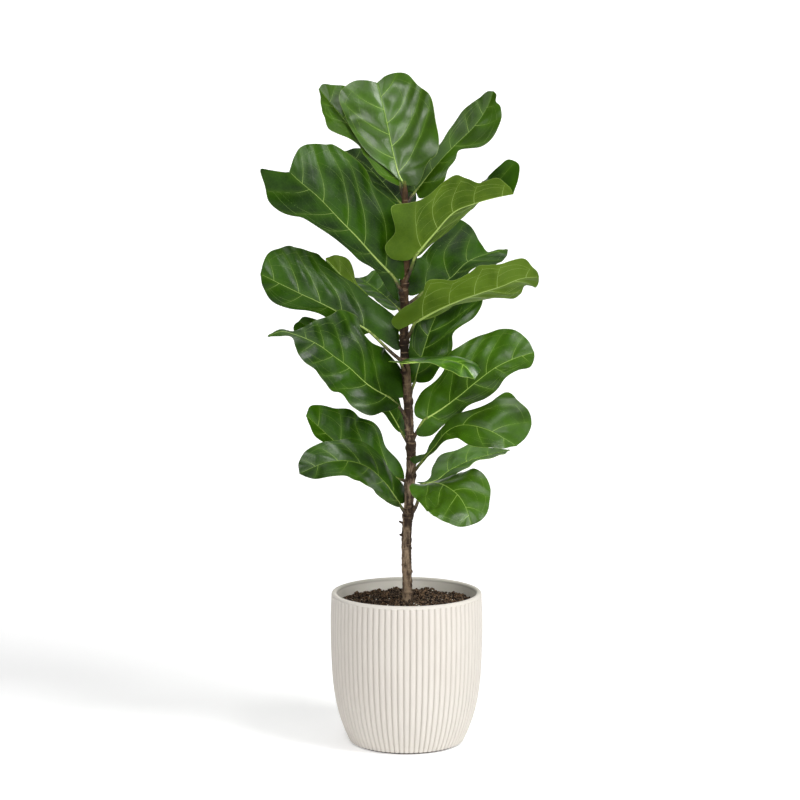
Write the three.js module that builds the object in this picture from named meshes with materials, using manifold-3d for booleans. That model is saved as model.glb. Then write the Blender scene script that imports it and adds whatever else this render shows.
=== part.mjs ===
import * as THREE from "three";
import Module from "manifold-3d";

// A fiddle leaf fig in a fluted pot. Sizes are in millimetres. The origin is the centre of
// the pot's underside, +Z is up and the side seen first faces -Y.

// Pot: its radius over the reeds at each height, and the plain wall of the space inside it.
const POT_HEIGHT = 240;
const POT_OUTSIDE = [
  [89, 0],
  [91, 4],
  [97.5, 18],
  [105.5, 40],
  [111.5, 64],
  [117, 104],
  [119.8, 190],
  [118.4, 234],
];
const POT_LIP = [
  [118, 236],
  [116.8, 238.6],
  [114.6, POT_HEIGHT],
];
const POT_INSIDE = [
  [90, 14],
  [100, 50],
  [109, 100],
  [111, 190],
  [109.8, 233],
  [111.2, 238.4],
  [113.2, POT_HEIGHT + 0.6],
];
const REEDS = 76;
const REED_DEPTH = 2;
const INSIDE_SIDES = 44;

// Soil: fills the pot to a little below its lip, higher in the middle, with a crumbly top.
const SOIL_EDGE = 220;
const SOIL_RISE = 6;
const SOIL_CRUMB = 2.2;
const SOIL_RINGS = [0.97, 0.84, 0.7, 0.56, 0.42, 0.28, 0.16];

// The gap between pieces that touch, and the sides of the trunk's hole in the soil.
const GAP = 0.3;
const HOLE_SIDES = 24;

// Trunk: centre line with the stem's radius at each point, the first being its foot, the
// spacing and swell of its leaf scars, and the stubs of two lost leaves.
const TRUNK_LINE = [
  [2, 0, 150, 8],
  [2, 0, 232, 8],
  [0.5, 0, 274, 7.6],
  [0.5, 0, 337, 7.5],
  [3, 0, 369, 7.6],
  [5, 0, 401, 7.6],
  [7, 0, 433, 7.5],
  [7, 0, 465, 7.2],
  [4.5, 0, 497, 7],
  [2, 0, 544, 6.8],
  [0, 0, 575, 6.8],
  [-3.5, 0, 622, 6.6],
  [-3.5, 0, 700, 6.4],
  [-4, 0, 724, 6.2],
  [-1, 0, 759, 5.8],
  [-2.5, 0, 820, 5.2],
  [-2.5, 0, 868, 4.2],
  [-3, 2, 884, 1.8],
];
const TRUNK_SIDES = 10;
const TRUNK_STEP = 16;
const TRUNK_KNOBS = 0.35;
const SCAR_EVERY = 3;
const SCAR_SWELL = 0.6;
const STUBS = [
  { foot: [0, 0, 346], tip: [-12, -1, 352], radius: 2 },
  { foot: [0, 0, 328], tip: [-11, -3, 331], radius: 2.2 },
];

// Leaves: blade thickness, its keel under the midrib, the stalk and the mesh's fineness.
const BLADE_THICKNESS = 1;
const KEEL = 1.4;
const STALK_RADIUS = [3.1, 2.4, 0.8];
const STALK_SIDES = 6;
const STALK_STEPS = 6;
const STALK_RUN = 0.08;
const STALK_SINK = 0.6;
const CURL_WIDTH = 70;
const RUFFLE_POWER = 1.6;
const RUFFLE_SHIFT = 2.1;
const RIB_STEPS = 200;
const ROWS = 14;
const COLUMNS = 3;
const VEIN_SWEEP = 0.5;
const LOBE_GAP = 4;

// stalk and rib are points of their lines; face is the direction that the upper side faces
// at the base and at the tip; left and right are the outline as [share of the rib's length,
// distance out from the rib], going from the base to the tip, with left and right as seen
// from the upper side; lift is the angle of each half above the face's plane and curl the
// turn of a half over CURL_WIDTH, both from base to tip; wave is [height, count, phase].
const LEAVES = [
  {
    name: "leaf_top_front",
    stalk: [[-3, 0, 861], [-3, 0, 870]],
    rib: [[-4, 2, 878], [-12, 8, 894], [-21, 22, 928], [-29, 42, 966], [-37, 58, 1001], [-46, 66, 1035]],
    face: [[0, -0.95, 0.3], [0.05, -0.9, 0.4]],
    left: [[0.12, 9], [0.33, 37], [0.49, 51], [0.77, 62], [0.96, 64], [1.03, 51], [1.06, 33], [1.04, 16]],
    right: [[-0.06, 17], [0.02, 39], [0.15, 65], [0.27, 74], [0.52, 78], [0.74, 76], [0.88, 61], [1, 50],
      [1.04, 36], [1.04, 15]],
    lift: [[8, 8], [10, 5]],
    curl: [[-10, -20], [15, 20]],
    wave: [3, 2.5, 0],
  },
  {
    name: "leaf_top_left",
    stalk: [[-3, 2, 854], [-7, 4, 864]],
    rib: [[-12, 8, 885], [-46, 30, 922], [-73, 48, 949], [-109, 72, 991], [-138, 85, 1026]],
    face: [[0.35, -0.75, 0.5], [0.35, -0.7, 0.5]],
    left: [[-0.05, 10], [0.1, 26], [0.3, 22], [0.45, 18], [0.55, 35], [0.64, 44], [0.81, 31]],
    right: [[-0.05, 10], [0.1, 26], [0.36, 40], [0.6, 50], [0.75, 48], [0.88, 38], [0.97, 19], [1.01, 9]],
    lift: [[10, 20], [10, 30]],
    curl: [[0, 0], [0, 0]],
    wave: [3, 2.5, 40],
  },
  {
    name: "leaf_top_back",
    stalk: [[-3, 4, 836], [-6, 8, 842]],
    rib: [[-10, 18, 849], [-34, 56, 876], [-66, 96, 907], [-98, 130, 928]],
    face: [[0.35, -0.6, 0.7], [0.35, -0.6, 0.7]],
    left: [[-0.06, 12], [0, 24], [0.15, 34], [0.36, 40], [0.6, 56], [0.8, 60], [0.95, 34]],
    right: [[-0.05, 20], [0.1, 36], [0.36, 40], [0.6, 40], [0.8, 34], [0.94, 25]],
    lift: [[10, 10], [10, 10]],
    curl: [[0, 0], [0, 0]],
    wave: [3, 2.5, 90],
  },
  {
    name: "leaf_top_right",
    stalk: [[-1, 4, 846], [5, 9, 856]],
    rib: [[14, 16, 868], [52, 34, 914], [74, 42, 937], [106, 52, 968], [127, 60, 999], [136, 62, 1022]],
    face: [[-0.35, -0.75, 0.55], [-0.35, -0.75, 0.55]],
    left: [[-0.05, 10], [0.08, 18], [0.2, 24], [0.39, 18], [0.53, 25], [0.74, 29], [0.91, 18], [0.98, 10]],
    right: [[-0.04, 16], [0.04, 30], [0.16, 32], [0.27, 24], [0.39, 20], [0.46, 14], [0.59, 40],
      [0.71, 41], [0.85, 32], [0.91, 21], [0.93, 11], [0.98, 8]],
    lift: [[50, 45], [0, 0]],
    curl: [[0, 0], [0, 0]],
    wave: [3, 2.5, 140],
  },
  {
    name: "leaf_upper_left",
    stalk: [[-4, -3, 709], [-12, -8, 721]],
    rib: [[-21, -12, 738], [-49, -24, 768], [-75, -34, 798], [-102, -44, 826], [-135, -54, 861],
      [-162, -60, 884], [-178, -62, 899]],
    face: [[0.2, -0.9, 0.4], [0.25, -0.8, 0.5]],
    left: [[-0.17, 22], [-0.08, 22], [0.13, 15], [0.24, 23], [0.38, 24], [0.54, 31], [0.71, 40],
      [0.88, 57], [0.96, 56], [1.06, 40], [1.15, 26], [1.06, 15]],
    right: [[-0.06, 5], [-0.08, 30], [0.02, 66], [0.16, 82], [0.35, 80], [0.49, 80], [0.63, 89],
      [0.77, 85], [0.89, 82], [1, 64], [1.05, 44], [1.04, 22]],
    lift: [[-45, -45], [5, 5]],
    curl: [[0, 0], [0, 5]],
    wave: [3, 2.5, 0],
  },
  {
    name: "leaf_upper_front",
    stalk: [[-3, -3, 725], [5, -8, 744]],
    rib: [[14, -14, 770], [40, -30, 802], [72, -52, 838], [100, -72, 851], [132, -95, 861],
      [159, -112, 867]],
    face: [[-0.3, 0.75, 0.5], [-0.3, 0.75, 0.5]],
    left: [[-0.02, 12], [0.05, 24], [0.2, 40], [0.42, 47], [0.62, 45], [0.76, 35], [0.88, 43],
      [0.99, 53], [1.07, 43], [1.06, 21]],
    right: [[-0.07, 5], [-0.12, 27], [-0.07, 48], [0.08, 52], [0.26, 85], [0.35, 63], [0.46, 51],
      [0.62, 62], [0.7, 62], [0.8, 34], [0.96, 35], [1, 15]],
    lift: [[28, 34, 34, 30, 28, 30, 40, 88, 112, 118, 120], [10, 10]],
    curl: [[0, 0], [0, 0]],
    wave: [3, 2.5, 0],
  },
  {
    name: "leaf_upper_back",
    stalk: [[-4, 4, 671], [-7, 8, 677]],
    rib: [[-12, 20, 684], [-29, 60, 697], [-48, 100, 709], [-75, 142, 725]],
    face: [[0.2, -0.6, 0.75], [0.2, -0.6, 0.75]],
    left: [[-0.09, 16], [0.03, 26], [0.2, 27], [0.4, 28], [0.6, 42], [0.8, 42], [0.95, 24]],
    right: [[-0.04, 8], [0.05, 18], [0.2, 24], [0.4, 32], [0.6, 42], [0.8, 44], [1.03, 29], [0.97, 10]],
    lift: [[10, 10], [10, 10]],
    curl: [[0, 0], [0, 0]],
    wave: [3, 2.5, 60],
  },
  {
    name: "leaf_upper_right",
    stalk: [[-2, 4, 690], [7, 10, 696]],
    rib: [[26, 18, 711], [67, 48, 729], [96, 74, 754], [130, 100, 766], [163, 127, 771]],
    face: [[-0.3, -0.7, 0.6], [-0.3, -0.7, 0.6]],
    left: [[-0.12, 4], [-0.14, 16], [-0.06, 32], [0.1, 60], [0.3, 66], [0.56, 66], [0.79, 84],
      [0.83, 56], [0.785, 29], [0.785, 17], [0.775, 4], [0.83, 3], [0.9, 4]],
    right: [[-0.03, 10], [0.1, 26], [0.36, 26], [0.43, 23], [0.66, 42], [0.84, 28]],
    lift: [[10, 10], [10, 10]],
    curl: [[0, 0], [0, 0]],
    wave: [3, 2.5, 20],
  },
  {
    name: "leaf_middle_left",
    stalk: [[-4, -3, 602], [-23, -6, 618]],
    rib: [[-54, -6, 648], [-60, -6, 653], [-84, -8, 668], [-113, -14, 686], [-141, -20, 700.5],
      [-159, -24, 709], [-186, -28, 722.5], [-225, -28, 742]],
    face: [[0.2, -0.85, 0.5], [0.2, -0.85, 0.5]],
    left: [[0.03, 4], [0.06, 14], [0.11, 25], [0.23, 24], [0.4, 16], [0.53, 19], [0.68, 28], [0.83, 30],
      [0.94, 16]],
    right: [[-0.05, 3], [-0.23, 5], [-0.25, 10], [-0.21, 19], [-0.135, 34], [-0.06, 45], [0.03, 46],
      [0.14, 49], [0.28, 54], [0.43, 57], [0.54, 69], [0.62, 74], [0.73, 69], [0.85, 65], [0.9, 64],
      [0.97, 51], [1.02, 36], [1.02, 18], [1.01, 8]],
    lift: [[-40, -40], [5, 5]],
    curl: [[0, 0], [0, 0]],
    wave: [3, 2.5, 0],
  },
  {
    name: "leaf_middle_left_back",
    stalk: [[-4, 2, 632], [-10, 14, 639]],
    rib: [[-16, 24, 647], [-54, 40, 679], [-89, 62, 719], [-128, 85, 760]],
    face: [[0.45, 0.6, 0.35], [0.45, 0.6, 0.35]],
    left: [[-0.03, 10], [0.16, 10], [0.42, 14], [0.61, 13], [0.69, 23], [0.81, 30], [0.92, 21]],
    right: [[-0.03, 10], [0.1, 30], [0.36, 36], [0.6, 44], [0.8, 44], [0.95, 26]],
    lift: [[10, 10], [10, 10]],
    curl: [[0, 0], [0, 0]],
    wave: [3, 2.5, 120],
  },
  {
    name: "leaf_middle_right",
    stalk: [[-1, -3, 635], [5, -10, 648]],
    rib: [[14, -18, 667], [44, -34, 685], [71, -50, 699], [111, -74, 716], [141, -92, 727],
      [173, -110, 741], [198, -122, 744]],
    face: [[-0.3, 0.85, 0.4], [-0.3, 0.75, 0.5]],
    left: [[0.05, 20], [0.15, 30], [0.32, 35], [0.48, 42], [0.65, 50], [0.73, 45], [0.82, 31],
      [0.87, 37], [0.945, 26]],
    right: [[-0.14, 3], [-0.15, 18], [-0.09, 27], [0.01, 32], [0.08, 32], [0.18, 37], [0.29, 55],
      [0.41, 39], [0.55, 40], [0.67, 48], [0.81, 38], [0.88, 36], [0.935, 34], [0.975, 21], [1, 9]],
    lift: [[32, 40, 24, 14, 10], [10, 10]],
    curl: [[0, 0], [0, 0]],
    wave: [3, 2.5, 0],
  },
  {
    name: "leaf_middle_right_back",
    stalk: [[5, 3, 543], [8, 6, 559]],
    rib: [[13, 10, 572], [26, 36, 615], [40, 60, 654], [61, 84, 697]],
    face: [[-0.3, -0.85, 0.4], [-0.3, -0.85, 0.4]],
    left: [[-0.04, 6], [0.02, 10], [0.15, 18], [0.36, 24], [0.6, 30], [0.8, 34], [0.95, 20]],
    right: [[-0.02, 10], [0.01, 27], [0.15, 40], [0.31, 48], [0.43, 49], [0.62, 44], [0.86, 67],
      [1.03, 69], [1.15, 52]],
    lift: [[10, 10], [10, 10]],
    curl: [[0, 0], [0, 0]],
    wave: [3, 2.5, 200],
  },
  {
    name: "leaf_middle_front",
    stalk: [[-2, -4, 588], [-7, -12, 597]],
    rib: [[-7, -22, 605], [28, -66, 611], [62, -108, 617], [86, -132, 611], [102, -142, 592]],
    face: [[0, 0.02, 1], [0.35, -0.35, 0.85]],
    left: [[-0.05, 12], [-0.02, 26], [0.1, 34], [0.34, 30], [0.56, 40], [0.76, 42], [0.92, 26]],
    right: [[-0.05, 12], [-0.02, 24], [0.1, 30], [0.3, 26], [0.52, 36], [0.74, 40], [0.9, 26]],
    lift: [[8, 14, 24], [0, -4, -8]],
    curl: [[0, 0, -70, -130], [0, 0]],
    wave: [2, 2.5, 0],
  },
  {
    name: "leaf_lower_left_front",
    stalk: [[-1, -4, 516], [-10, -10, 532]],
    rib: [[-26, -18, 549], [-57, -34, 569], [-90, -50, 601], [-110, -60, 617], [-135, -72, 637],
      [-170, -86, 654], [-191, -94, 659], [-211, -98, 652]],
    face: [[0.3, -0.7, 0.6], [0.2, -0.8, 0.5]],
    left: [[-0.08, 3], [-0.03, 20], [0.05, 34], [0.13, 51], [0.21, 49], [0.31, 43], [0.43, 52],
      [0.55, 39], [0.7, 34], [0.79, 18], [0.825, 6], [0.92, 7]],
    right: [[-0.05, 5], [-0.15, 25], [-0.08, 40], [0.01, 58], [0.16, 73], [0.34, 57], [0.4, 62],
      [0.46, 79], [0.59, 73], [0.64, 50], [0.71, 32], [0.77, 15], [0.83, 4], [0.91, 4]],
    lift: [[0, -20], [10, 10]],
    curl: [[0, 0], [0, 0]],
    wave: [3, 2.5, 0],
  },
  {
    name: "leaf_lower_left_back",
    stalk: [[7, 2, 468], [-1, 6, 480]],
    rib: [[-7, 10, 490], [-26, 20, 522], [-65, 30, 575], [-117, 36, 626], [-169, 36, 664]],
    face: [[0.2, -0.9, 0.4], [0.2, -0.9, 0.4]],
    left: [[0.02, 5], [0.1, 10], [0.18, 12], [0.36, 40], [0.6, 44], [0.8, 34], [0.99, 21], [1.01, 11]],
    right: [[-0.03, 4], [0.06, 12], [0.2, 24], [0.36, 34], [0.55, 40], [0.82, 23], [0.95, 15], [0.994, 9]],
    lift: [[10, 10], [10, 10]],
    curl: [[0, 0], [0, 0]],
    wave: [3, 2.5, 0],
  },
  {
    name: "leaf_lower_right_front",
    stalk: [[7, -2, 474], [17, -6, 496]],
    rib: [[27, -8, 513], [52, -12, 529], [83, -18, 553], [107, -24, 574], [139, -34, 599],
      [167, -40, 613], [196, -46, 623]],
    face: [[-0.2, -0.85, 0.5], [-0.3, -0.8, 0.5]],
    left: [[-0.04, 12], [-0.02, 27], [0.07, 40], [0.2, 44], [0.34, 51], [0.44, 65], [0.53, 64],
      [0.63, 64], [0.74, 58], [0.85, 51], [0.92, 39], [0.98, 19]],
    right: [[-0.06, 4], [-0.09, 9], [-0.1, 16], [-0.01, 27], [0.13, 22], [0.23, 24], [0.34, 21],
      [0.47, 29], [0.6, 29], [0.74, 21], [0.84, 19], [0.94, 20], [0.99, 8]],
    lift: [[5, 5], [-20, -25]],
    curl: [[0, 0], [0, 0]],
    wave: [3, 2.5, 0],
  },
  {
    name: "leaf_lower_right",
    stalk: [[7, -3, 424], [16, -10, 438]],
    rib: [[27, -18, 453], [44, -30, 475], [62, -42, 499], [85, -54, 511], [124, -72, 506], [168, -84, 483]],
    face: [[-0.5, -0.5, 0.7], [0.1, -0.85, 0.5]],
    left: [[-0.04, 2], [-0.09, 6], [-0.08, 17], [0, 10], [0.05, 4], [0.13, 8], [0.25, 11], [0.39, 15],
      [0.54, 25], [0.66, 45], [0.74, 69], [0.82, 62], [0.93, 56], [1.01, 43], [1.03, 18]],
    right: [[-0.02, 4], [0.1, 10], [0.25, 14], [0.46, 26], [0.68, 39], [0.9, 20]],
    lift: [[60, 40, 20, 10, 10, 10, 10, 10, 10, 10, 10], [10, 10]],
    curl: [[0, 0], [0, 0]],
    wave: [3, 2.5, 0],
  },
  {
    name: "leaf_bottom_left_back",
    stalk: [[4, 5, 411], [-5, 11, 415]],
    rib: [[-13, 13, 417], [-49, 4, 435], [-88, -4, 462], [-109, -4, 476], [-135, 0, 499], [-157, 4, 519]],
    face: [[0.2, -0.8, 0.55], [0.2, -0.8, 0.55]],
    left: [[0.05, 3], [0.16, 6], [0.4, 16], [0.66, 14], [0.81, 19], [0.94, 8]],
    right: [[-0.05, 3], [0.03, 24], [0.23, 42], [0.38, 58], [0.47, 62], [0.57, 58], [0.75, 55],
      [0.86, 40], [0.98, 28], [1.03, 15]],
    lift: [[10, 10], [10, 10]],
    curl: [[0, 0], [0, 0]],
    wave: [3, 2.5, 0],
  },
  {
    name: "leaf_bottom_left",
    stalk: [[2, -3, 361], [-4, -8, 369]],
    rib: [[-13, -14, 385], [-35, -30, 419], [-61, -48, 445], [-92, -66, 457], [-125, -80, 456],
      [-164, -90, 441]],
    face: [[0.2, -0.5, 0.85], [-0.1, -0.8, 0.6]],
    left: [[-0.02, 7], [0.06, 30], [0.26, 48], [0.48, 59], [0.6, 47], [0.71, 33], [0.85, 29], [0.96, 14]],
    right: [[-0.04, 4], [-0.06, 14], [-0.02, 30], [0.05, 32], [0.15, 28], [0.3, 33], [0.5, 42],
      [0.67, 35], [0.77, 34], [0.89, 28], [0.97, 16]],
    lift: [[10, 10], [10, 10]],
    curl: [[0, 0], [0, 0]],
    wave: [3, 2.5, 0],
  },
  {
    name: "leaf_bottom_right_back",
    stalk: [[5, 2, 395], [15, 6, 404]],
    rib: [[26, 10, 409], [48, 20, 414], [67, 36, 426], [99, 56, 439], [134, 76, 446], [167, 96, 451]],
    face: [[-0.25, -0.4, 0.9], [-0.25, -0.4, 0.9]],
    left: [[-0.04, 8], [0.03, 5], [0.14, 15], [0.27, 28], [0.38, 41], [0.56, 35], [0.7, 39], [0.86, 14]],
    right: [[-0.03, 6], [0.06, 18], [0.19, 22], [0.35, 27], [0.43, 27], [0.48, 22], [0.57, 18],
      [0.73, 21], [0.86, 15]],
    lift: [[10, 10], [10, 10]],
    curl: [[0, 0], [0, 0]],
    wave: [3, 2.5, 0],
  },
  {
    name: "leaf_bottom_right",
    stalk: [[7, -3, 362], [15, -12, 378]],
    rib: [[25, -24, 412], [38, -35, 418], [51, -48, 419], [65, -66, 415], [80, -84, 405],
      [91, -101, 388], [98, -116, 366]],
    face: [[-0.1, -0.6, 0.8], [0.3, -0.9, 0.3]],
    left: [[-0.08, 12], [0.02, 24], [0.12, 31], [0.23, 38], [0.39, 42], [0.48, 48], [0.58, 52],
      [0.68, 49], [0.8, 38], [0.91, 27], [0.98, 14]],
    right: [[0, 8], [0, 22], [0.01, 30], [0.05, 43], [0.11, 49], [0.22, 50], [0.42, 53], [0.7, 57],
      [0.85, 51], [0.96, 32], [1.01, 13]],
    lift: [[-50, -40, -28, -5, 5, 10, 10, 10, 10, 10, 10], [45, 28, 14, 4, 0, 0, 0, 0, 0, 0, 0]],
    curl: [[0, 0], [0, 0]],
    wave: [3, 2.5, 0],
  },
];

const COLOURS = {
  pot: { color: 0xe6e0d6, roughness: 0.85, metalness: 0 },
  soil: { color: 0x38291c, roughness: 1, metalness: 0 },
  trunk: { color: 0x6b5644, roughness: 0.9, metalness: 0 },
  leaf: { color: 0x3d6422, roughness: 0.45, metalness: 0 },
};

const wasm = await Module();
wasm.setup();

const vec = (p) => new THREE.Vector3(p[0], p[1], p[2]);
const radians = THREE.MathUtils.degToRad;
const lerp = THREE.MathUtils.lerp;

/** A repeatable number from -1 to 1 for two whole numbers. */
function scatter(i, j) {
  const value = Math.sin(i * 127.1 + j * 311.7 + 74.7) * 43758.5453;
  return 2 * (value - Math.floor(value)) - 1;
}

/** count + 1 points evenly spaced along a smooth line through the given points. */
function smoothLine(points, count) {
  const curve = new THREE.CatmullRomCurve3(points, false, "centripetal");
  curve.arcLengthDivisions = 480;
  return curve.getSpacedPoints(count);
}

/** The value at share s of a list whose values stand evenly from 0 to 1. */
function along(values, s) {
  const place = THREE.MathUtils.clamp(s, 0, 1) * (values.length - 1);
  const i = Math.min(Math.floor(place), values.length - 2);
  return lerp(values[i], values[i + 1], place - i);
}

function solidOf(vertices, triangles) {
  const vertProperties = new Float32Array(vertices.flatMap((v) => [v.x, v.y, v.z]));
  const triVerts = new Uint32Array(triangles.flat());
  return new wasm.Manifold(new wasm.Mesh({ numProp: 3, vertProperties, triVerts }));
}

function meshOf(name, solid, look) {
  const { numProp, numVert, vertProperties, triVerts } = solid.getMesh();
  const positions = new Float32Array(3 * numVert);
  for (let i = 0; i < numVert; i++) {
    positions.set(vertProperties.subarray(i * numProp, i * numProp + 3), 3 * i);
  }
  const geometry = new THREE.BufferGeometry();
  geometry.setAttribute("position", new THREE.BufferAttribute(positions, 3));
  geometry.setIndex(new THREE.BufferAttribute(new Uint32Array(triVerts), 1));
  geometry.computeVertexNormals();
  const mesh = new THREE.Mesh(geometry, new THREE.MeshStandardMaterial(look));
  mesh.name = name;
  return mesh;
}

/** A closed solid through rings of points, each ring running anticlockwise about the line. */
function loft(rings) {
  const sides = rings[0].length;
  const vertices = rings.flat();
  const triangles = [];
  const last = rings.length - 1;
  for (let i = 0; i < last; i++) {
    for (let j = 0; j < sides; j++) {
      const next = (j + 1) % sides;
      const [a, b] = [i * sides + j, i * sides + next];
      const [d, c] = [a + sides, b + sides];
      triangles.push([a, b, c], [a, c, d]);
    }
  }
  for (const [ring, flip] of [[0, true], [last, false]]) {
    const middle = vertices.length;
    const sum = rings[ring].reduce((total, p) => total.add(p), new THREE.Vector3());
    vertices.push(sum.divideScalar(sides));
    for (let j = 0; j < sides; j++) {
      const a = ring * sides + j;
      const b = ring * sides + ((j + 1) % sides);
      triangles.push(flip ? [middle, b, a] : [middle, a, b]);
    }
  }
  return solidOf(vertices, triangles);
}

/** A level ring about the point (x, y); inset gives how far each side steps in. */
function levelRing(x, y, z, radius, sides, inset = () => 0) {
  return Array.from({ length: sides }, (_, j) => {
    const angle = (2 * Math.PI * j) / sides;
    const r = radius - inset(j);
    return new THREE.Vector3(x + r * Math.cos(angle), y + r * Math.sin(angle), z);
  });
}

/** A round rod along a line of points, with a radius at each point. */
function rod(points, radii, sides) {
  const last = points.length - 1;
  const side = new THREE.Vector3();
  const rings = points.map((point, i) => {
    const ahead = points[Math.min(i + 1, last)];
    const behind = points[Math.max(i - 1, 0)];
    const direction = ahead.clone().sub(behind).normalize();
    if (i === 0) {
      side.set(0, 1, 0).cross(direction);
    }
    side.addScaledVector(direction, -side.dot(direction)).normalize();
    const other = direction.clone().cross(side);
    return Array.from({ length: sides }, (_, j) => {
      const angle = (2 * Math.PI * j) / sides;
      return point
        .clone()
        .addScaledVector(side, radii[i] * Math.cos(angle))
        .addScaledVector(other, radii[i] * Math.sin(angle));
    });
  });
  return loft(rings);
}

function makePot() {
  const groove = (j) => (j % 2) * REED_DEPTH;
  const reeded = POT_OUTSIDE.map(([r, z]) => levelRing(0, 0, z, r, 2 * REEDS, groove));
  const lip = POT_LIP.map(([r, z]) => levelRing(0, 0, z, r, 2 * REEDS));
  const inside = POT_INSIDE.map(([r, z]) => levelRing(0, 0, z, r, INSIDE_SIDES));
  return loft([...reeded, ...lip]).subtract(loft(inside));
}

/** The radius of the pot's inside at a height. */
function insideRadius(z) {
  const i = POT_INSIDE.findIndex(([, height]) => height > z);
  const [[r0, z0], [r1, z1]] = [POT_INSIDE[i - 1], POT_INSIDE[i]];
  return lerp(r0, r1, (z - z0) / (z1 - z0));
}

function makeSoil() {
  const walls = POT_INSIDE.filter(([, z]) => z < SOIL_EDGE);
  walls.push([insideRadius(SOIL_EDGE), SOIL_EDGE]);
  const [floor, ...rest] = walls;
  const sides = [[floor[0], floor[1] + GAP], ...rest];
  const rings = sides.map(([r, z]) => levelRing(0, 0, z, r - GAP, INSIDE_SIDES));
  const edge = insideRadius(SOIL_EDGE) - GAP;
  SOIL_RINGS.forEach((share, i) => {
    const ring = levelRing(0, 0, SOIL_EDGE + SOIL_RISE * (1 - share * share), edge * share, INSIDE_SIDES);
    ring.forEach((p, j) => {
      p.z += SOIL_CRUMB * scatter(i, j) * Math.min(1, 6 * share);
    });
    rings.push(ring);
  });
  const [x, y, foot, radius] = TRUNK_LINE[0];
  const hole = [foot - GAP, SOIL_EDGE + 20].map((z) => levelRing(x, y, z, radius + 1.3 * GAP, HOLE_SIDES));
  return loft(rings).subtract(loft(hole));
}

/** The trunk's rings, grown outwards by margin. */
function trunkRings(margin) {
  const line = smoothLine(TRUNK_LINE.slice(1).map(vec), 300);
  const foot = TRUNK_LINE[0];
  const heights = TRUNK_LINE.map((p) => p[2]);
  const radiusAt = (z) => {
    const i = THREE.MathUtils.clamp(heights.findIndex((h) => h > z), 1, heights.length - 1);
    const share = (z - heights[i - 1]) / (heights[i] - heights[i - 1]);
    return lerp(TRUNK_LINE[i - 1][3], TRUNK_LINE[i][3], share);
  };
  const top = line[line.length - 1].z;
  const count = Math.round((top - line[0].z) / TRUNK_STEP);
  const rings = [levelRing(foot[0], foot[1], foot[2] - margin, foot[3] + margin, TRUNK_SIDES)];
  for (let i = 0; i <= count; i++) {
    const z = lerp(line[0].z, top, i / count);
    const next = Math.max(1, line.findIndex((p) => p.z >= z - 1e-6));
    const share = (z - line[next - 1].z) / (line[next].z - line[next - 1].z);
    const centre = line[next - 1].clone().lerp(line[next], share);
    const swell = i % SCAR_EVERY === 1 ? SCAR_SWELL : 0;
    const rough = (j) => (i === 0 ? 0 : TRUNK_KNOBS * scatter(i, j + 50));
    const radius = radiusAt(z) + swell + margin;
    rings.push(levelRing(centre.x, centre.y, z + (i === count ? margin : 0), radius, TRUNK_SIDES, rough));
  }
  return rings;
}

function makeTrunk() {
  return STUBS.reduce((trunk, { foot, tip, radius }) => {
    const stub = rod([vec(foot), vec(tip)], [radius, 0.75 * radius], STALK_SIDES);
    return trunk.add(stub);
  }, loft(trunkRings(0)));
}

/** The rib of a leaf as evenly spaced points with tangent, upper-side and rightward arrows. */
function ribOf(leaf) {
  const points = smoothLine(leaf.rib.map(vec), RIB_STEPS);
  const step = points[0].distanceTo(points[1]);
  const stations = points.map((point, i) => {
    const ahead = points[Math.min(i + 1, RIB_STEPS)];
    const behind = points[Math.max(i - 1, 0)];
    const tangent = ahead.clone().sub(behind).normalize();
    const up = vec(leaf.face[0]).lerp(vec(leaf.face[1]), i / RIB_STEPS);
    up.addScaledVector(tangent, -up.dot(tangent)).normalize();
    return { point, tangent, up, out: tangent.clone().cross(up) };
  });
  return { stations, length: step * RIB_STEPS };
}

/** The rib's station u mm from the base, running straight on past both ends. */
function stationAt(rib, u) {
  const inside = THREE.MathUtils.clamp(u, 0, rib.length);
  const place = (inside / rib.length) * RIB_STEPS;
  const i = Math.min(Math.floor(place), RIB_STEPS - 1);
  const [a, b] = [rib.stations[i], rib.stations[i + 1]];
  const mixed = {};
  for (const key of ["point", "tangent", "up", "out"]) {
    mixed[key] = a[key].clone().lerp(b[key], place - i);
  }
  for (const key of ["tangent", "up", "out"]) {
    mixed[key].normalize();
  }
  mixed.point.addScaledVector(mixed.tangent, u - inside);
  return mixed;
}

/** A point of the blade, u mm along the rib and v mm out over its left or right half. */
function bladePoint(leaf, rib, half, u, v) {
  const share = u / rib.length;
  const lift = radians(along(leaf.lift[half], share));
  const bend = radians(along(leaf.curl[half], share)) / CURL_WIDTH || 1e-6;
  const out = (Math.sin(lift + bend * v) - Math.sin(lift)) / bend;
  const rise = (Math.cos(lift) - Math.cos(lift + bend * v)) / bend;
  const [height, count, phase] = leaf.wave;
  const turn = 2 * Math.PI * count * share + radians(phase) + (half === 0 ? 0 : RUFFLE_SHIFT);
  const ruffle = height * Math.sin(turn) * (v / CURL_WIDTH) ** RUFFLE_POWER;
  const at = stationAt(rib, u);
  return at.point
    .addScaledVector(at.out, half === 0 ? -out : out)
    .addScaledVector(at.up, rise + ruffle);
}

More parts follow.
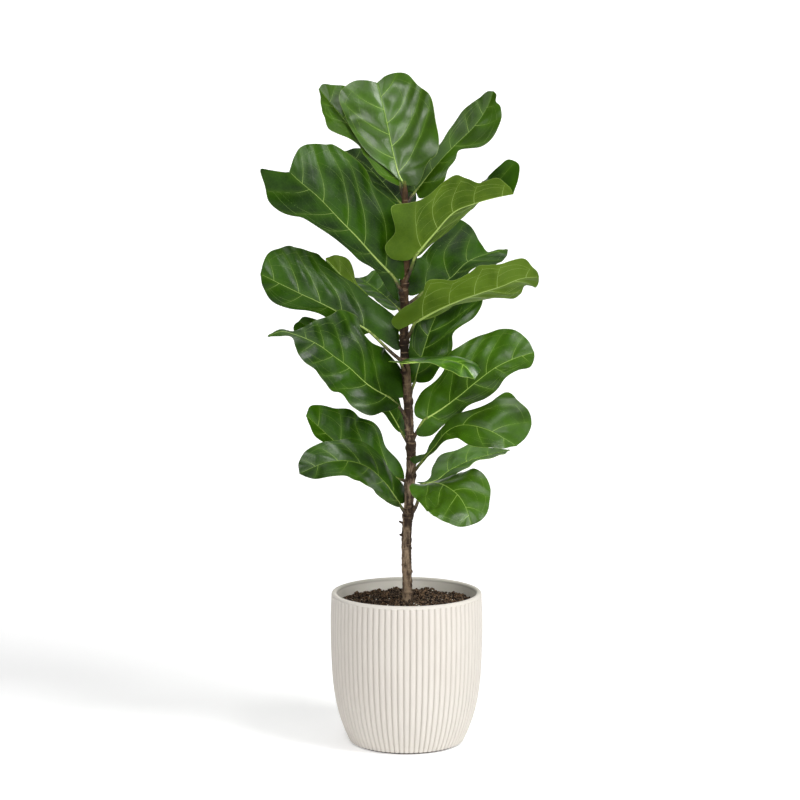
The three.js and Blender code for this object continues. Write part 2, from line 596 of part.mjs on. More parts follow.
/** Rows of points across the blade, from the left margin over the rib to the right one. */
function bladeGrid(leaf, rib) {
  const margins = [leaf.left, leaf.right].map((outline) => {
    const points = [[0, 0], ...outline, [1, 0]];
    return smoothLine(points.map(([share, out]) => vec([share * rib.length, out, 0])), ROWS);
  });
  const swept = (p) => THREE.MathUtils.clamp(p.x - VEIN_SWEEP * p.y, 0, rib.length);
  let middle = 0;
  const rows = Array.from({ length: ROWS + 1 }, (_, i) => {
    middle = Math.max(middle, (swept(margins[0][i]) + swept(margins[1][i])) / 2);
    const row = [];
    for (let j = -COLUMNS; j <= COLUMNS; j++) {
      const half = j < 0 ? 0 : 1;
      const part = Math.abs(j) / COLUMNS;
      const edge = margins[half][i];
      const u = lerp(middle, edge.x, part);
      const width = i % ROWS === 0 ? 0 : Math.max(edge.y, LOBE_GAP / 2);
      row.push(bladePoint(leaf, rib, half, u, part * width));
    }
    return row;
  });
  const oneMiddle = (a, b) => a[COLUMNS].distanceTo(b[COLUMNS]) < 0.1;
  const first = oneMiddle(rows[0], rows[1]) ? 1 : 0;
  const end = oneMiddle(rows[ROWS], rows[ROWS - 1]) ? ROWS : ROWS + 1;
  return rows.slice(first, end);
}

/** The blade as a solid: two skins with the same triangles, joined round the margin. */
function makeBlade(leaf, rib) {
  const vertices = [];
  const onRib = [];
  const known = new Map();
  const numbers = bladeGrid(leaf, rib).map((row) =>
    row.map((point, j) => {
      const key = point.toArray().map((c) => c.toFixed(2)).join();
      if (!known.has(key)) {
        known.set(key, vertices.length);
        vertices.push(point);
        onRib.push(j === COLUMNS);
      }
      return known.get(key);
    }),
  );
  const triangles = [];
  for (let i = 0; i < numbers.length - 1; i++) {
    for (let j = 0; j < 2 * COLUMNS; j++) {
      const [a, b] = [numbers[i][j], numbers[i][j + 1]];
      const [d, c] = [numbers[i + 1][j], numbers[i + 1][j + 1]];
      const pair = j < COLUMNS ? [[a, b, d], [b, c, d]] : [[a, b, c], [a, c, d]];
      triangles.push(...pair.filter((t) => new Set(t).size === 3));
    }
  }
  const normals = vertices.map(() => new THREE.Vector3());
  for (const [a, b, c] of triangles) {
    const side = vertices[b].clone().sub(vertices[a]);
    const normal = side.cross(vertices[c].clone().sub(vertices[a]));
    for (const corner of [a, b, c]) {
      normals[corner].add(normal);
    }
  }
  normals.forEach((normal) => normal.normalize());
  const half = BLADE_THICKNESS / 2;
  const upper = vertices.map((p, i) => p.clone().addScaledVector(normals[i], half));
  const under = vertices.map((p, i) => {
    const depth = half + (onRib[i] ? KEEL : 0);
    return p.clone().addScaledVector(normals[i], -depth);
  });
  const shift = vertices.length;
  const edges = new Set(triangles.flatMap(([a, b, c]) => [`${a},${b}`, `${b},${c}`, `${c},${a}`]));
  const skin = triangles.flatMap(([a, b, c]) => [[a, b, c], [a + shift, c + shift, b + shift]]);
  for (const edge of edges) {
    const [a, b] = edge.split(",").map(Number);
    if (!edges.has(`${b},${a}`)) {
      skin.push([b, a, a + shift], [b, a + shift, b + shift]);
    }
  }
  return solidOf([...upper, ...under], skin);
}

/** A leaf: its blade with the stalk that runs from the trunk into the midrib. */
function makeLeaf(leaf, clearOfTrunk) {
  const rib = ribOf(leaf);
  const sunk = [0, 0.5, 1].map((share) => {
    const at = stationAt(rib, share * STALK_RUN * rib.length);
    return at.point.addScaledVector(at.up, -STALK_SINK);
  });
  const line = smoothLine([...leaf.stalk.map(vec), ...sunk], STALK_STEPS);
  const radii = line.map((_, i) => along(STALK_RADIUS, i / STALK_STEPS));
  const stalk = rod(line, radii, STALK_SIDES);
  return makeBlade(leaf, rib).add(stalk).subtract(clearOfTrunk);
}

const plant = new THREE.Group();
plant.name = "potted_fiddle_leaf_fig";
plant.add(meshOf("pot", makePot(), COLOURS.pot));
plant.add(meshOf("soil", makeSoil(), COLOURS.soil));
plant.add(meshOf("trunk", makeTrunk(), COLOURS.trunk));
const clearOfTrunk = loft(trunkRings(GAP));
for (const leaf of LEAVES) {
  plant.add(meshOf(leaf.name, makeLeaf(leaf, clearOfTrunk), COLOURS.leaf));
}

export default plant;
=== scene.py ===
import math

import bpy
import numpy as np
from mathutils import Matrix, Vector


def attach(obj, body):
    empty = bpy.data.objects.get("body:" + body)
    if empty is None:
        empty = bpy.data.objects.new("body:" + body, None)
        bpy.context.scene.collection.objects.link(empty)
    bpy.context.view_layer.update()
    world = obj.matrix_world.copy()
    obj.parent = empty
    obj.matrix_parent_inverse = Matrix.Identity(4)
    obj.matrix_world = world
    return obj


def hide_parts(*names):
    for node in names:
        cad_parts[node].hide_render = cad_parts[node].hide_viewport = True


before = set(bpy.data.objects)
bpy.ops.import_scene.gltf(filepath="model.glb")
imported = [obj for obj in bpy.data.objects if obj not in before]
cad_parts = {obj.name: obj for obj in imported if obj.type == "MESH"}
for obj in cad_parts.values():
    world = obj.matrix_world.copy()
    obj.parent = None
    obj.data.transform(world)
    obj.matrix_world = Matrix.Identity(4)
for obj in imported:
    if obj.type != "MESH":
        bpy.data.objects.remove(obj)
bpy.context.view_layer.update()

# Sizes are in millimetres in the tables below and in metres in the scene.
MM = 0.001

# Pot: radius over the reeds at each height, its foot, its lip and the plain wall inside.
POT_OUTSIDE = [[89, 0], [91, 4], [97.5, 18], [105.5, 40], [111.5, 64], [117, 104],
    [119.8, 190], [118.4, 234]]
POT_FOOT_RADIUS = 84
POT_FOOT_HEIGHT = 3
POT_LIP_TOP = 240
POT_LIP_OUTER = 118.2
POT_LIP_INNER = 109.9
POT_LIP_ROUND = 4
POT_LIP_POWER = 0.8
POT_LIP_RINGS = 13
POT_INSIDE = [[109.9, 234], [111, 190], [111.2, 170]]

# Reeds round the pot: number, depth of the grooves, roundness, where they end and fade out,
# points across each, and stretches of rings as lowest, highest and number.
REEDS = 76
REED_DEPTH = 2.4
REED_POWER = 2.4
REED_TOP = 236
REED_FADE = 3
REED_POINTS = 12
REED_RINGS = [[POT_FOOT_HEIGHT + 0.1, 6, 5], [9, 228, 48], [230, REED_TOP, 6]]

# Soil: height at its edge, how much higher it is in the middle, the trunk's hole, and its
# unevenness as height, fineness and seed.
SOIL_RADIUS = 110.4
SOIL_EDGE = 220
SOIL_RISE = 6
SOIL_HOLE = 6.5
SOIL_RINGS = 70
SOIL_SIDES = 220
SOIL_WAVES = [[1.5, 0.02, 1], [1.1, 0.06, 2], [0.7, 0.16, 3]]
SOIL_SEED = 11

# Loose crumbs on the soil: number, smallest and largest size, dark and light colour.
CRUMBS = {
    "soil_dark": [1500, 0.9, 2.4, (14, 9, 6), (124, 105, 88)],
    "soil_bark": [460, 1.2, 3.6, (54, 41, 31), (126, 102, 80)],
    "soil_perlite": [80, 0.7, 1.6, (205, 198, 186), (238, 234, 226)],
}

# Trunk: centre line with the radius as the fourth number, and stubs of two lost leaves.
TRUNK_LINE = [[2, 0, 150, 8], [2, 0, 232, 8], [0.5, 0, 274, 7.6], [0.5, 0, 337, 7.5],
    [3, 0, 369, 7.6], [5, 0, 401, 7.6], [7, 0, 433, 7.5], [7, 0, 465, 7.2], [4.5, 0, 497, 7],
    [2, 0, 544, 6.8], [0, 0, 575, 6.8], [-3.5, 0, 622, 6.6], [-3.5, 0, 700, 6.4],
    [-4, 0, 724, 6.2], [-1, 0, 759, 5.8], [-2.5, 0, 820, 5.2], [-2.5, 0, 868, 4.2],
    [-3, 2, 884, 1.8]]
STUBS = [[[0, 0, 346], [-12, -1, 352], 2], [[0, 0, 328], [-11, -3, 331], 2.2]]
STUB_SHAPE = [1.3, 1.1, 1, 0.95, 0.9, 0.85, 0.5]
TRUNK_BOTTOM = 215
TRUNK_STEPS = 700
TRUNK_SIDES = 44
TRUNK_SEED = 5

# Bark: its unevenness as height, stretch, fineness and seed, the swelling under each leaf,
# and the ring scars of leaves long lost. All of it fades out towards the tip.
BARK_WAVES = [[0.35, [1, 1, 0.4], 0.05, 7], [0.25, [1, 1, 1], 0.16, 8]]
LEAF_SWELL = 2.0
LEAF_SWELL_WIDTH = 4.5
SCAR_FIRST = 236
SCAR_LAST = 860
SCAR_SPACING = 12.0
SCAR_DEPTH = 0.8
BARK_FADE_TOP = 880
BARK_FADE = 60

# Leaves: blade thickness, the stalk's radii, and the midrib's radii under the blade and
# its widths on it, from foot to tip.
BLADE_THICKNESS = 0.9
STALK_RADIUS = [3.2, 2.5, 2.0]
MIDRIB_RADIUS = [1.9, 1.3, 0.9, 0.6, 0.3]
MIDRIB_WIDTH = [1.9, 1.5, 1.0, 0.7, 0.4]

# Blade surface: the width over which curl and waves grow, the way out of the left and of
# the right half, how far rows sweep forward, how wide they are at least, and their number.
CURL_WIDTH = 70
RUFFLE_POWER = 1.6
RUFFLE_SHIFT = 2.1
SIGNS = (-1, 1)
VEIN_SWEEP = 0.5
LOBE_GAP = 4
ROWS = 120
COLUMNS = 30

# Veins: spacing along the midrib and the start on each half, their slope and bend towards
# the tip, how much the blade swells between them, and its slow warp: height, fineness and
# how far out it is full.
VEIN_PITCH = 43
VEIN_OFFSETS = (0.1, 0.42)
VEIN_SLOPE = 0.5
VEIN_BEND = 0.011
PUCKER = 1.8
PUCKER_WIDTH = 9
WARP = 1.3
WARP_SCALE = 0.017
WARP_START = 25

# Kinds of vein: width and its loss by the end, paleness and its loss. Loops leave one side
# vein and reach the next at these shares of their lengths and bow out by so many mm. Veins
# keep this room from the margin, and the green near them is paler.
SIDE_VEIN = [0.85, 0.6, 0.85, 0.6]
LOOP_VEIN = [0.5, 0.2, 0.3, 0.12]
CROSS_VEIN = [0.25, 0, 0.08, 0]
LOOPS = [[0.62, 0.78, 3.0], [0.97, 0.93, 2.0]]
CROSS_VEIN_STEP = 6
SIDE_VEIN_ROOM = 3.5
FINE_VEIN_ROOM = 2.5
PALE_WIDTH = 4.5

# Cross-section of a vein on a skin: shares of half its width and of its height.
RIDGE = [[-1, -0.5], [-0.55, 0.65], [0, 1], [0.55, 0.65], [1, -0.5]]

# What a leaf has unless it says otherwise: how steeply each half rises from the midrib and
# how far it then curls up, in degrees, and its margin's waves as height, number and phase.
PLAIN_LEAF = dict(lift=[[10], [10]], curl=[[0], [0]], wave=[3, 2.5, 0])

# Each leaf's painted light and shade as a brightness factor (above 1 brighter, below 1
# darker), its yellowing and gloss, its stalk and midrib, the margins of its halves as percent
# of the midrib's length and mm out, and where its upper side faces.
LEAVES = {
    "leaf_top_front": dict(
        look=[1.15, 0.15, 1.5], stalk=[[-3, 0, 861], [-3, 0, 870]],
        rib=[[-4, 2, 878], [-12, 8, 894], [-21, 22, 928], [-29, 42, 966], [-37, 58, 1001],
            [-46, 66, 1035]],
        left=[[12, 9], [33, 37], [49, 51], [77, 62], [96, 64], [103, 51], [106, 33], [104, 16]],
        right=[[-6, 17], [2, 39], [15, 65], [27, 74], [52, 78], [74, 76], [88, 61], [100, 50],
            [104, 36], [104, 15]],
        face=[[0, -0.95, 0.3], [0.05, -0.9, 0.4]], lift=[[8], [10, 5]],
        curl=[[-10, -20], [15, 20]],
    ),
    "leaf_top_left": dict(
        look=[0.95, 0.2, 0.7], stalk=[[-3, 2, 854], [-7, 4, 864]],
        rib=[[-12, 8, 885], [-46, 30, 922], [-73, 48, 949], [-109, 72, 991], [-138, 85, 1026]],
        left=[[-5, 10], [10, 26], [30, 22], [45, 18], [55, 35], [64, 44], [81, 31]],
        right=[[-5, 10], [10, 26], [36, 40], [60, 50], [75, 48], [88, 38], [97, 19], [101, 9]],
        face=[[0.35, -0.75, 0.5], [0.35, -0.7, 0.5]], lift=[[10, 20], [10, 30]],
        wave=[3, 2.5, 40],
    ),
    "leaf_top_back": dict(
        look=[1.15, 0, 0.2], stalk=[[-3, 4, 836], [-6, 8, 842]],
        rib=[[-10, 18, 849], [-34, 56, 876], [-66, 96, 907], [-98, 130, 928]],
        left=[[-6, 12], [0, 24], [15, 34], [36, 40], [60, 56], [80, 60], [95, 34]],
        right=[[-5, 20], [10, 36], [36, 40], [60, 40], [80, 34], [94, 25]],
        face=[[0.35, -0.6, 0.7]], wave=[3, 2.5, 90],
    ),
    "leaf_top_right": dict(
        look=[0.85, 0.15, 0.9], stalk=[[-1, 4, 846], [5, 9, 856]],
        rib=[[14, 16, 868], [52, 34, 914], [74, 42, 937], [106, 52, 968], [127, 60, 999],
            [136, 62, 1022]],
        left=[[-5, 10], [8, 18], [20, 24], [39, 18], [53, 25], [74, 29], [91, 18], [98, 10]],
        right=[[-4, 16], [4, 30], [16, 32], [27, 24], [39, 20], [46, 14], [59, 40], [71, 41],
            [85, 32], [91, 21], [93, 11], [98, 8]],
        face=[[-0.35, -0.75, 0.55]], lift=[[50, 45], [0]], wave=[3, 2.5, 140],
    ),
    "leaf_upper_left": dict(
        look=[0.8, 0, 0.45], stalk=[[-4, -3, 709], [-12, -8, 721]],
        rib=[[-21, -12, 738], [-49, -24, 768], [-75, -34, 798], [-102, -44, 826],
            [-135, -54, 861], [-162, -60, 884], [-178, -62, 899]],
        left=[[-17, 22], [-8, 22], [13, 15], [24, 23], [38, 24], [54, 31], [71, 40], [88, 57],
            [96, 56], [106, 40], [115, 26], [106, 15]],
        right=[[-6, 5], [-8, 30], [2, 66], [16, 82], [35, 80], [49, 80], [63, 89], [77, 85],
            [89, 82], [100, 64], [105, 44], [104, 22]],
        face=[[0.2, -0.9, 0.4], [0.25, -0.8, 0.5]], lift=[[-45], [5]], curl=[[0], [0, 5]],
    ),
    "leaf_upper_front": dict(
        look=[1.05, 0, 1], stalk=[[-3, -3, 725], [5, -8, 744]],
        rib=[[14, -14, 770], [40, -30, 802], [72, -52, 838], [100, -72, 851], [132, -95, 861],
            [159, -112, 867]],
        left=[[-2, 12], [5, 24], [20, 40], [42, 47], [62, 45], [76, 35], [88, 43], [99, 53],
            [107, 43], [106, 21]],
        right=[[-7, 5], [-12, 27], [-7, 48], [8, 52], [26, 85], [35, 63], [46, 51], [62, 62],
            [70, 62], [80, 34], [96, 35], [100, 15]],
        face=[[-0.3, 0.75, 0.5]], lift=[[28, 34, 34, 30, 28, 30, 40, 88, 112, 118, 120], [10]],
    ),
    "leaf_upper_back": dict(
        look=[1.45, 0, 0.8], stalk=[[-4, 4, 671], [-7, 8, 677]],
        rib=[[-12, 20, 684], [-29, 60, 697], [-48, 100, 709], [-75, 142, 725]],
        left=[[-9, 16], [3, 26], [20, 27], [40, 28], [60, 42], [80, 42], [95, 24]],
        right=[[-4, 8], [5, 18], [20, 24], [40, 32], [60, 42], [80, 44], [103, 29], [97, 10]],
        face=[[0.2, -0.6, 0.75]], wave=[3, 2.5, 60],
    ),
    "leaf_upper_right": dict(
        look=[0.85, 0, 0.45], stalk=[[-2, 4, 690], [7, 10, 696]],
        rib=[[26, 18, 711], [67, 48, 729], [96, 74, 754], [130, 100, 766], [163, 127, 771]],
        left=[[-12, 4], [-14, 16], [-6, 32], [10, 60], [30, 66], [56, 66], [79, 84], [83, 56],
            [78.5, 29], [78.5, 17], [77.5, 4], [83, 3], [90, 4]],
        right=[[-3, 10], [10, 26], [36, 26], [43, 23], [66, 42], [84, 28]],
        face=[[-0.3, -0.7, 0.6]], wave=[3, 2.5, 20],
    ),
    "leaf_middle_left": dict(
        look=[0.8, 0, 0.5], stalk=[[-4, -3, 602], [-23, -6, 618]],
        rib=[[-54, -6, 648], [-60, -6, 653], [-84, -8, 668], [-113, -14, 686], [-141, -20, 700.5],
            [-159, -24, 709], [-186, -28, 722.5], [-225, -28, 742]],
        left=[[3, 4], [6, 14], [11, 25], [23, 24], [40, 16], [53, 19], [68, 28], [83, 30],
            [94, 16]],
        right=[[-5, 3], [-23, 5], [-25, 10], [-21, 19], [-13.5, 34], [-6, 45], [3, 46], [14, 49],
            [28, 54], [43, 57], [54, 69], [62, 74], [73, 69], [85, 65], [90, 64], [97, 51],
            [102, 36], [102, 18], [101, 8]],
        face=[[0.2, -0.85, 0.5]], lift=[[-40], [5]],
    ),
    "leaf_middle_left_back": dict(
        look=[1.6, 0.3, 1], stalk=[[-4, 2, 632], [-10, 14, 639]],
        rib=[[-16, 24, 647], [-54, 40, 679], [-89, 62, 719], [-128, 85, 760]],
        left=[[-3, 10], [16, 10], [42, 14], [61, 13], [69, 23], [81, 30], [92, 21]],
        right=[[-3, 10], [10, 30], [36, 36], [60, 44], [80, 44], [95, 26]],
        face=[[0.45, 0.6, 0.35]], wave=[3, 2.5, 120],
    ),
    "leaf_middle_right": dict(
        look=[1, 0.1, 1], stalk=[[-1, -3, 635], [5, -10, 648]],
        rib=[[14, -18, 667], [44, -34, 685], [71, -50, 699], [111, -74, 716], [141, -92, 727],
            [173, -110, 741], [198, -122, 744]],
        left=[[5, 20], [15, 30], [32, 35], [48, 42], [65, 50], [73, 45], [82, 31], [87, 37],
            [94.5, 26]],
        right=[[-14, 3], [-15, 18], [-9, 27], [1, 32], [8, 32], [18, 37], [29, 55], [41, 39],
            [55, 40], [67, 48], [81, 38], [88, 36], [93.5, 34], [97.5, 21], [100, 9]],
        face=[[-0.3, 0.85, 0.4], [-0.3, 0.75, 0.5]], lift=[[32, 40, 24, 14, 10], [10]],
    ),
    "leaf_middle_right_back": dict(
        look=[0.95, 0, 1], stalk=[[5, 3, 543], [8, 6, 559]],
        rib=[[13, 10, 572], [26, 36, 615], [40, 60, 654], [61, 84, 697]],
        left=[[-4, 6], [2, 10], [15, 18], [36, 24], [60, 30], [80, 34], [95, 20]],
        right=[[-2, 10], [1, 27], [15, 40], [31, 48], [43, 49], [62, 44], [86, 67], [103, 69],
            [115, 52]],
        face=[[-0.3, -0.85, 0.4]], wave=[3, 2.5, 200],
    ),
    "leaf_middle_front": dict(
        look=[2.1, 0, 2], stalk=[[-2, -4, 588], [-7, -12, 597]],
        rib=[[-7, -22, 605], [28, -66, 611], [62, -108, 617], [86, -132, 611], [102, -142, 592]],
        left=[[-5, 12], [-2, 26], [10, 34], [34, 30], [56, 40], [76, 42], [92, 26]],
        right=[[-5, 12], [-2, 24], [10, 30], [30, 26], [52, 36], [74, 40], [90, 26]],
        face=[[0, 0.02, 1], [0.35, -0.35, 0.85]], lift=[[8, 14, 24], [0, -4, -8]],
        curl=[[0, 0, -70, -130], [0]], wave=[2, 2.5, 0],
    ),
    "leaf_lower_left_front": dict(
        look=[0.8, 0, 0.8], stalk=[[-1, -4, 516], [-10, -10, 532]],
        rib=[[-26, -18, 549], [-57, -34, 569], [-90, -50, 601], [-110, -60, 617],
            [-135, -72, 637], [-170, -86, 654], [-191, -94, 659], [-211, -98, 652]],
        left=[[-8, 3], [-3, 20], [5, 34], [13, 51], [21, 49], [31, 43], [43, 52], [55, 39],
            [70, 34], [79, 18], [82.5, 6], [92, 7]],
        right=[[-5, 5], [-15, 25], [-8, 40], [1, 58], [16, 73], [34, 57], [40, 62], [46, 79],
            [59, 73], [64, 50], [71, 32], [77, 15], [83, 4], [91, 4]],
        face=[[0.3, -0.7, 0.6], [0.2, -0.8, 0.5]], lift=[[0, -20], [10]],
    ),
    "leaf_lower_left_back": dict(
        look=[1.6, 0, 1], stalk=[[7, 2, 468], [-1, 6, 480]],
        rib=[[-7, 10, 490], [-26, 20, 522], [-65, 30, 575], [-117, 36, 626], [-169, 36, 664]],
        left=[[2, 5], [10, 10], [18, 12], [36, 40], [60, 44], [80, 34], [99, 21], [101, 11]],
        right=[[-3, 4], [6, 12], [20, 24], [36, 34], [55, 40], [82, 23], [95, 15], [99.4, 9]],
        face=[[0.2, -0.9, 0.4]],
    ),
    "leaf_lower_right_front": dict(
        look=[1.15, 0.1, 1.1], stalk=[[7, -2, 474], [17, -6, 496]],
        rib=[[27, -8, 513], [52, -12, 529], [83, -18, 553], [107, -24, 574], [139, -34, 599],
            [167, -40, 613], [196, -46, 623]],
        left=[[-4, 12], [-2, 27], [7, 40], [20, 44], [34, 51], [44, 65], [53, 64], [63, 64],
            [74, 58], [85, 51], [92, 39], [98, 19]],
        right=[[-6, 4], [-9, 9], [-10, 16], [-1, 27], [13, 22], [23, 24], [34, 21], [47, 29],
            [60, 29], [74, 21], [84, 19], [94, 20], [99, 8]],
        face=[[-0.2, -0.85, 0.5], [-0.3, -0.8, 0.5]], lift=[[5], [-20, -25]],
    ),
    "leaf_lower_right": dict(
        look=[1.05, 0.1, 0.9], stalk=[[7, -3, 424], [16, -10, 438]],
        rib=[[27, -18, 453], [44, -30, 475], [62, -42, 499], [85, -54, 511], [124, -72, 506],
            [168, -84, 483]],
        left=[[-4, 2], [-9, 6], [-8, 17], [0, 10], [5, 4], [13, 8], [25, 11], [39, 15], [54, 25],
            [66, 45], [74, 69], [82, 62], [93, 56], [101, 43], [103, 18]],
        right=[[-2, 4], [10, 10], [25, 14], [46, 26], [68, 39], [90, 20]],
        face=[[-0.5, -0.5, 0.7], [0.1, -0.85, 0.5]],
        lift=[[60, 40, 20, 10, 10, 10, 10, 10, 10, 10, 10], [10]],
    ),
    "leaf_bottom_left_back": dict(
        look=[1.6, 0, 1], stalk=[[4, 5, 411], [-5, 11, 415]],
        rib=[[-13, 13, 417], [-49, 4, 435], [-88, -4, 462], [-109, -4, 476], [-135, 0, 499],
            [-157, 4, 519]],
        left=[[5, 3], [16, 6], [40, 16], [66, 14], [81, 19], [94, 8]],
        right=[[-5, 3], [3, 24], [23, 42], [38, 58], [47, 62], [57, 58], [75, 55], [86, 40],
            [98, 28], [103, 15]],
        face=[[0.2, -0.8, 0.55]],
    ),
    "leaf_bottom_left": dict(
        look=[0.85, 0, 1], stalk=[[2, -3, 361], [-4, -8, 369]],
        rib=[[-13, -14, 385], [-35, -30, 419], [-61, -48, 445], [-92, -66, 457], [-125, -80, 456],
            [-164, -90, 441]],
        left=[[-2, 7], [6, 30], [26, 48], [48, 59], [60, 47], [71, 33], [85, 29], [96, 14]],
        right=[[-4, 4], [-6, 14], [-2, 30], [5, 32], [15, 28], [30, 33], [50, 42], [67, 35],
            [77, 34], [89, 28], [97, 16]],
        face=[[0.2, -0.5, 0.85], [-0.1, -0.8, 0.6]],
    ),
    "leaf_bottom_right_back": dict(
        look=[1.8, 0.1, 1.6], stalk=[[5, 2, 395], [15, 6, 404]],
        rib=[[26, 10, 409], [48, 20, 414], [67, 36, 426], [99, 56, 439], [134, 76, 446],
            [167, 96, 451]],
        left=[[-4, 8], [3, 5], [14, 15], [27, 28], [38, 41], [56, 35], [70, 39], [86, 14]],
        right=[[-3, 6], [6, 18], [19, 22], [35, 27], [43, 27], [48, 22], [57, 18], [73, 21],
            [86, 15]],
        face=[[-0.25, -0.4, 0.9]],
    ),
    "leaf_bottom_right": dict(
        look=[1.1, 0.15, 0.9], stalk=[[7, -3, 362], [15, -12, 378]],
        rib=[[25, -24, 412], [38, -35, 418], [51, -48, 419], [65, -66, 415], [80, -84, 405],
            [91, -101, 388], [98, -116, 366]],
        left=[[-8, 12], [2, 24], [12, 31], [23, 38], [39, 42], [48, 48], [58, 52], [68, 49],
            [80, 38], [91, 27], [98, 14]],
        right=[[0, 8], [0, 22], [1, 30], [5, 43], [11, 49], [22, 50], [42, 53], [70, 57],
            [85, 51], [96, 32], [101, 13]],
        face=[[-0.1, -0.6, 0.8], [0.3, -0.9, 0.3]],
        lift=[[-50, -40, -28, -5, 5, 10, 10, 10, 10, 10, 10],
            [45, 28, 14, 4, 0, 0, 0, 0, 0, 0, 0]],
    ),
}

# The two skins of a blade: colours as red, green and blue from 0 to 255 on screen, the
# range of roughness, how far the finest net of veins stands out, the shine, and the share
# of light that comes through.
SKINS = {
    "upper": dict(
        dark=(24, 52, 0), mid=(48, 86, 2), light=(80, 118, 20),
        yellow=(96, 132, 24), rim=(110, 134, 56),
        vein=(156, 186, 88), vein_end=(58, 92, 12),
        rough=(0.3, 0.4), net=-0.1, shine=0.33, glow=0.08,
    ),
    "under": dict(
        dark=(72, 100, 16), mid=(92, 122, 26), light=(116, 144, 44),
        yellow=(116, 144, 38), rim=(140, 162, 80),
        vein=(172, 196, 104), vein_end=(122, 150, 56),
        rough=(0.5, 0.6), net=0.15, shine=0.18, glow=0.14,
    ),
}

# The other colours, the same way.
STALK_GREENS = [(104, 122, 48), (140, 158, 76)]
STALK_BROWNS = [(52, 38, 26), (84, 66, 44)]
BARK_LOW = [(56, 42, 32), (160, 138, 114)]
BARK_HIGH = [(28, 18, 10), (78, 58, 36)]
BARK_CRACK = (40, 28, 20)
BARK_SCAR = (42, 28, 22)
BARK_RING = (160, 136, 108)
BARK_TIP = (92, 104, 44)
GLAZE = [(212, 206, 198), (217, 212, 204)]
GLAZE_SPECK = (190, 180, 168)
# Painted shade for the grooves between the reeds.
GLAZE_GROOVE_SHADE = (150, 140, 130)
# Painted light on the inside wall of the pot.
GLAZE_INSIDE_LIGHT = (250, 245, 236)
# Painted contact shadow on the foot, where the pot meets the floor.
GLAZE_FOOT_SHADOW = (54, 46, 40)

# Floor: level from front to back, then curving up into a wall.
FLOOR_FRONT = -6000
FLOOR_BACK = 2500
FLOOR_CURVE = 1800
FLOOR_CURVE_STEPS = 16
WALL_TOP = 2600
FLOOR_HALF_WIDTH = 8000
FLOOR_WHITE = 0.92
FLOOR_GLOW = (0.28, 0.6)

# Lights: place, point aimed at and size in metres, and power in watts.
LIGHTS = {
    "key": [(2.1, -1.5, 3.1), (0, 0, 0.5), 1.3, 84],
    "front": [(-0.9, -2.4, 2.9), (0, 0, 0.6), 1.5, 54],
    "top": [(0.2, 0.6, 3.2), (0, 0, 0.5), 2.6, 20],
    "fill": [(1.7, -2.6, 1.25), (0, 0, 0.4), 2.6, 30],
}
WORLD_LIGHT = 0.11

# Camera: place in metres, downward tilt in degrees, sensor and lens in millimetres.
CAMERA_PLACE = (-0.01025, -3.54, 0.97)
CAMERA_TILT = 6.87
CAMERA_SENSOR = 36
CAMERA_LENS = 102.825


# Geometry helpers

def distances(points):
    """How far along a line each of its points lies."""
    return np.r_[0, np.cumsum(np.linalg.norm(np.diff(points, axis=0), axis=1))]


def between(points, run, at):
    """The points at the given places of a line, where run tells the place of each point."""
    return np.stack([np.interp(at, run, column) for column in points.T], -1)


def blend(a, b, start, end, t):
    """What lies between a, at start, and b, at end, when t is reached."""
    return (end - t) / (end - start) * a + (t - start) / (end - start) * b


def smooth_line(points, count):
    """count + 1 points evenly spaced along a centripetal curve through the given points."""
    pts = np.asarray(points, float)
    if len(pts) == 2:
        share = np.linspace(0, 1, count + 1)[:, None]
        return pts[0] * (1 - share) + pts[1] * share
    ends = np.vstack([2 * pts[0] - pts[1], pts, 2 * pts[-1] - pts[-2]])
    fine = []
    for p0, p1, p2, p3 in zip(ends, ends[1:], ends[2:], ends[3:]):
        t0 = 0.0
        t1 = max(np.linalg.norm(p1 - p0), 1e-6) ** 0.5
        t2 = t1 + max(np.linalg.norm(p2 - p1), 1e-6) ** 0.5
        t3 = t2 + max(np.linalg.norm(p3 - p2), 1e-6) ** 0.5
        t = np.linspace(t1, t2, 40, endpoint=False)[:, None]
        a1 = blend(p0, p1, t0, t1, t)
        a2 = blend(p1, p2, t1, t2, t)
        a3 = blend(p2, p3, t2, t3, t)
        b1 = blend(a1, a2, t0, t2, t)
        b2 = blend(a2, a3, t1, t3, t)
        fine.append(blend(b1, b2, t1, t2, t))
    fine = np.vstack(fine + [pts[-1:]])
    run = distances(fine)
    return between(fine, run, np.linspace(0, run[-1], count + 1))


def unit(v):
    return v / np.maximum(np.linalg.norm(v, axis=-1, keepdims=True), 1e-9)


def along(values, share):
    """The value at share of a list whose values stand evenly from 0 to 1."""
    return np.interp(share, np.linspace(0, 1, len(values)), values)


def bump(distance, width):
    return np.exp(-((distance / width) ** 2))


def turns(sides):
    """Evenly spaced angles of one full turn."""
    return np.linspace(0, math.tau, sides, endpoint=False)


def waves(p, scale, seed):
    """Smooth repeatable noise from about -1 to 1 at points p, its waves 1 / scale mm long."""
    rng = np.random.default_rng(seed)
    total = np.zeros(p.shape[:-1])
    for k in range(10):
        way = unit(rng.normal(size=p.shape[-1])) * scale * math.tau * (0.7 + 0.08 * k)
        total += np.sin(p @ way + rng.uniform(0, math.tau))
    return total / 3.2


def bow(a, b, out, count=12):
    """Points from a to b, with the middle pushed out by out mm."""
    share = np.linspace(0, 1, count)[:, None]
    middle = (a + b) / 2 + [0, 2 * out]
    return (1 - share) ** 2 * a + 2 * share * (1 - share) * middle + share ** 2 * b


def grid_faces(rows, columns, closed=False):
    """Quads between rows of points, each row with the given number of columns."""
    faces = []
    for i in range(rows - 1):
        for j in range(columns if closed else columns - 1):
            k = (j + 1) % columns
            a, b = i * columns + j, i * columns + k
            faces.append((a, b, b + columns, a + columns))
    return faces


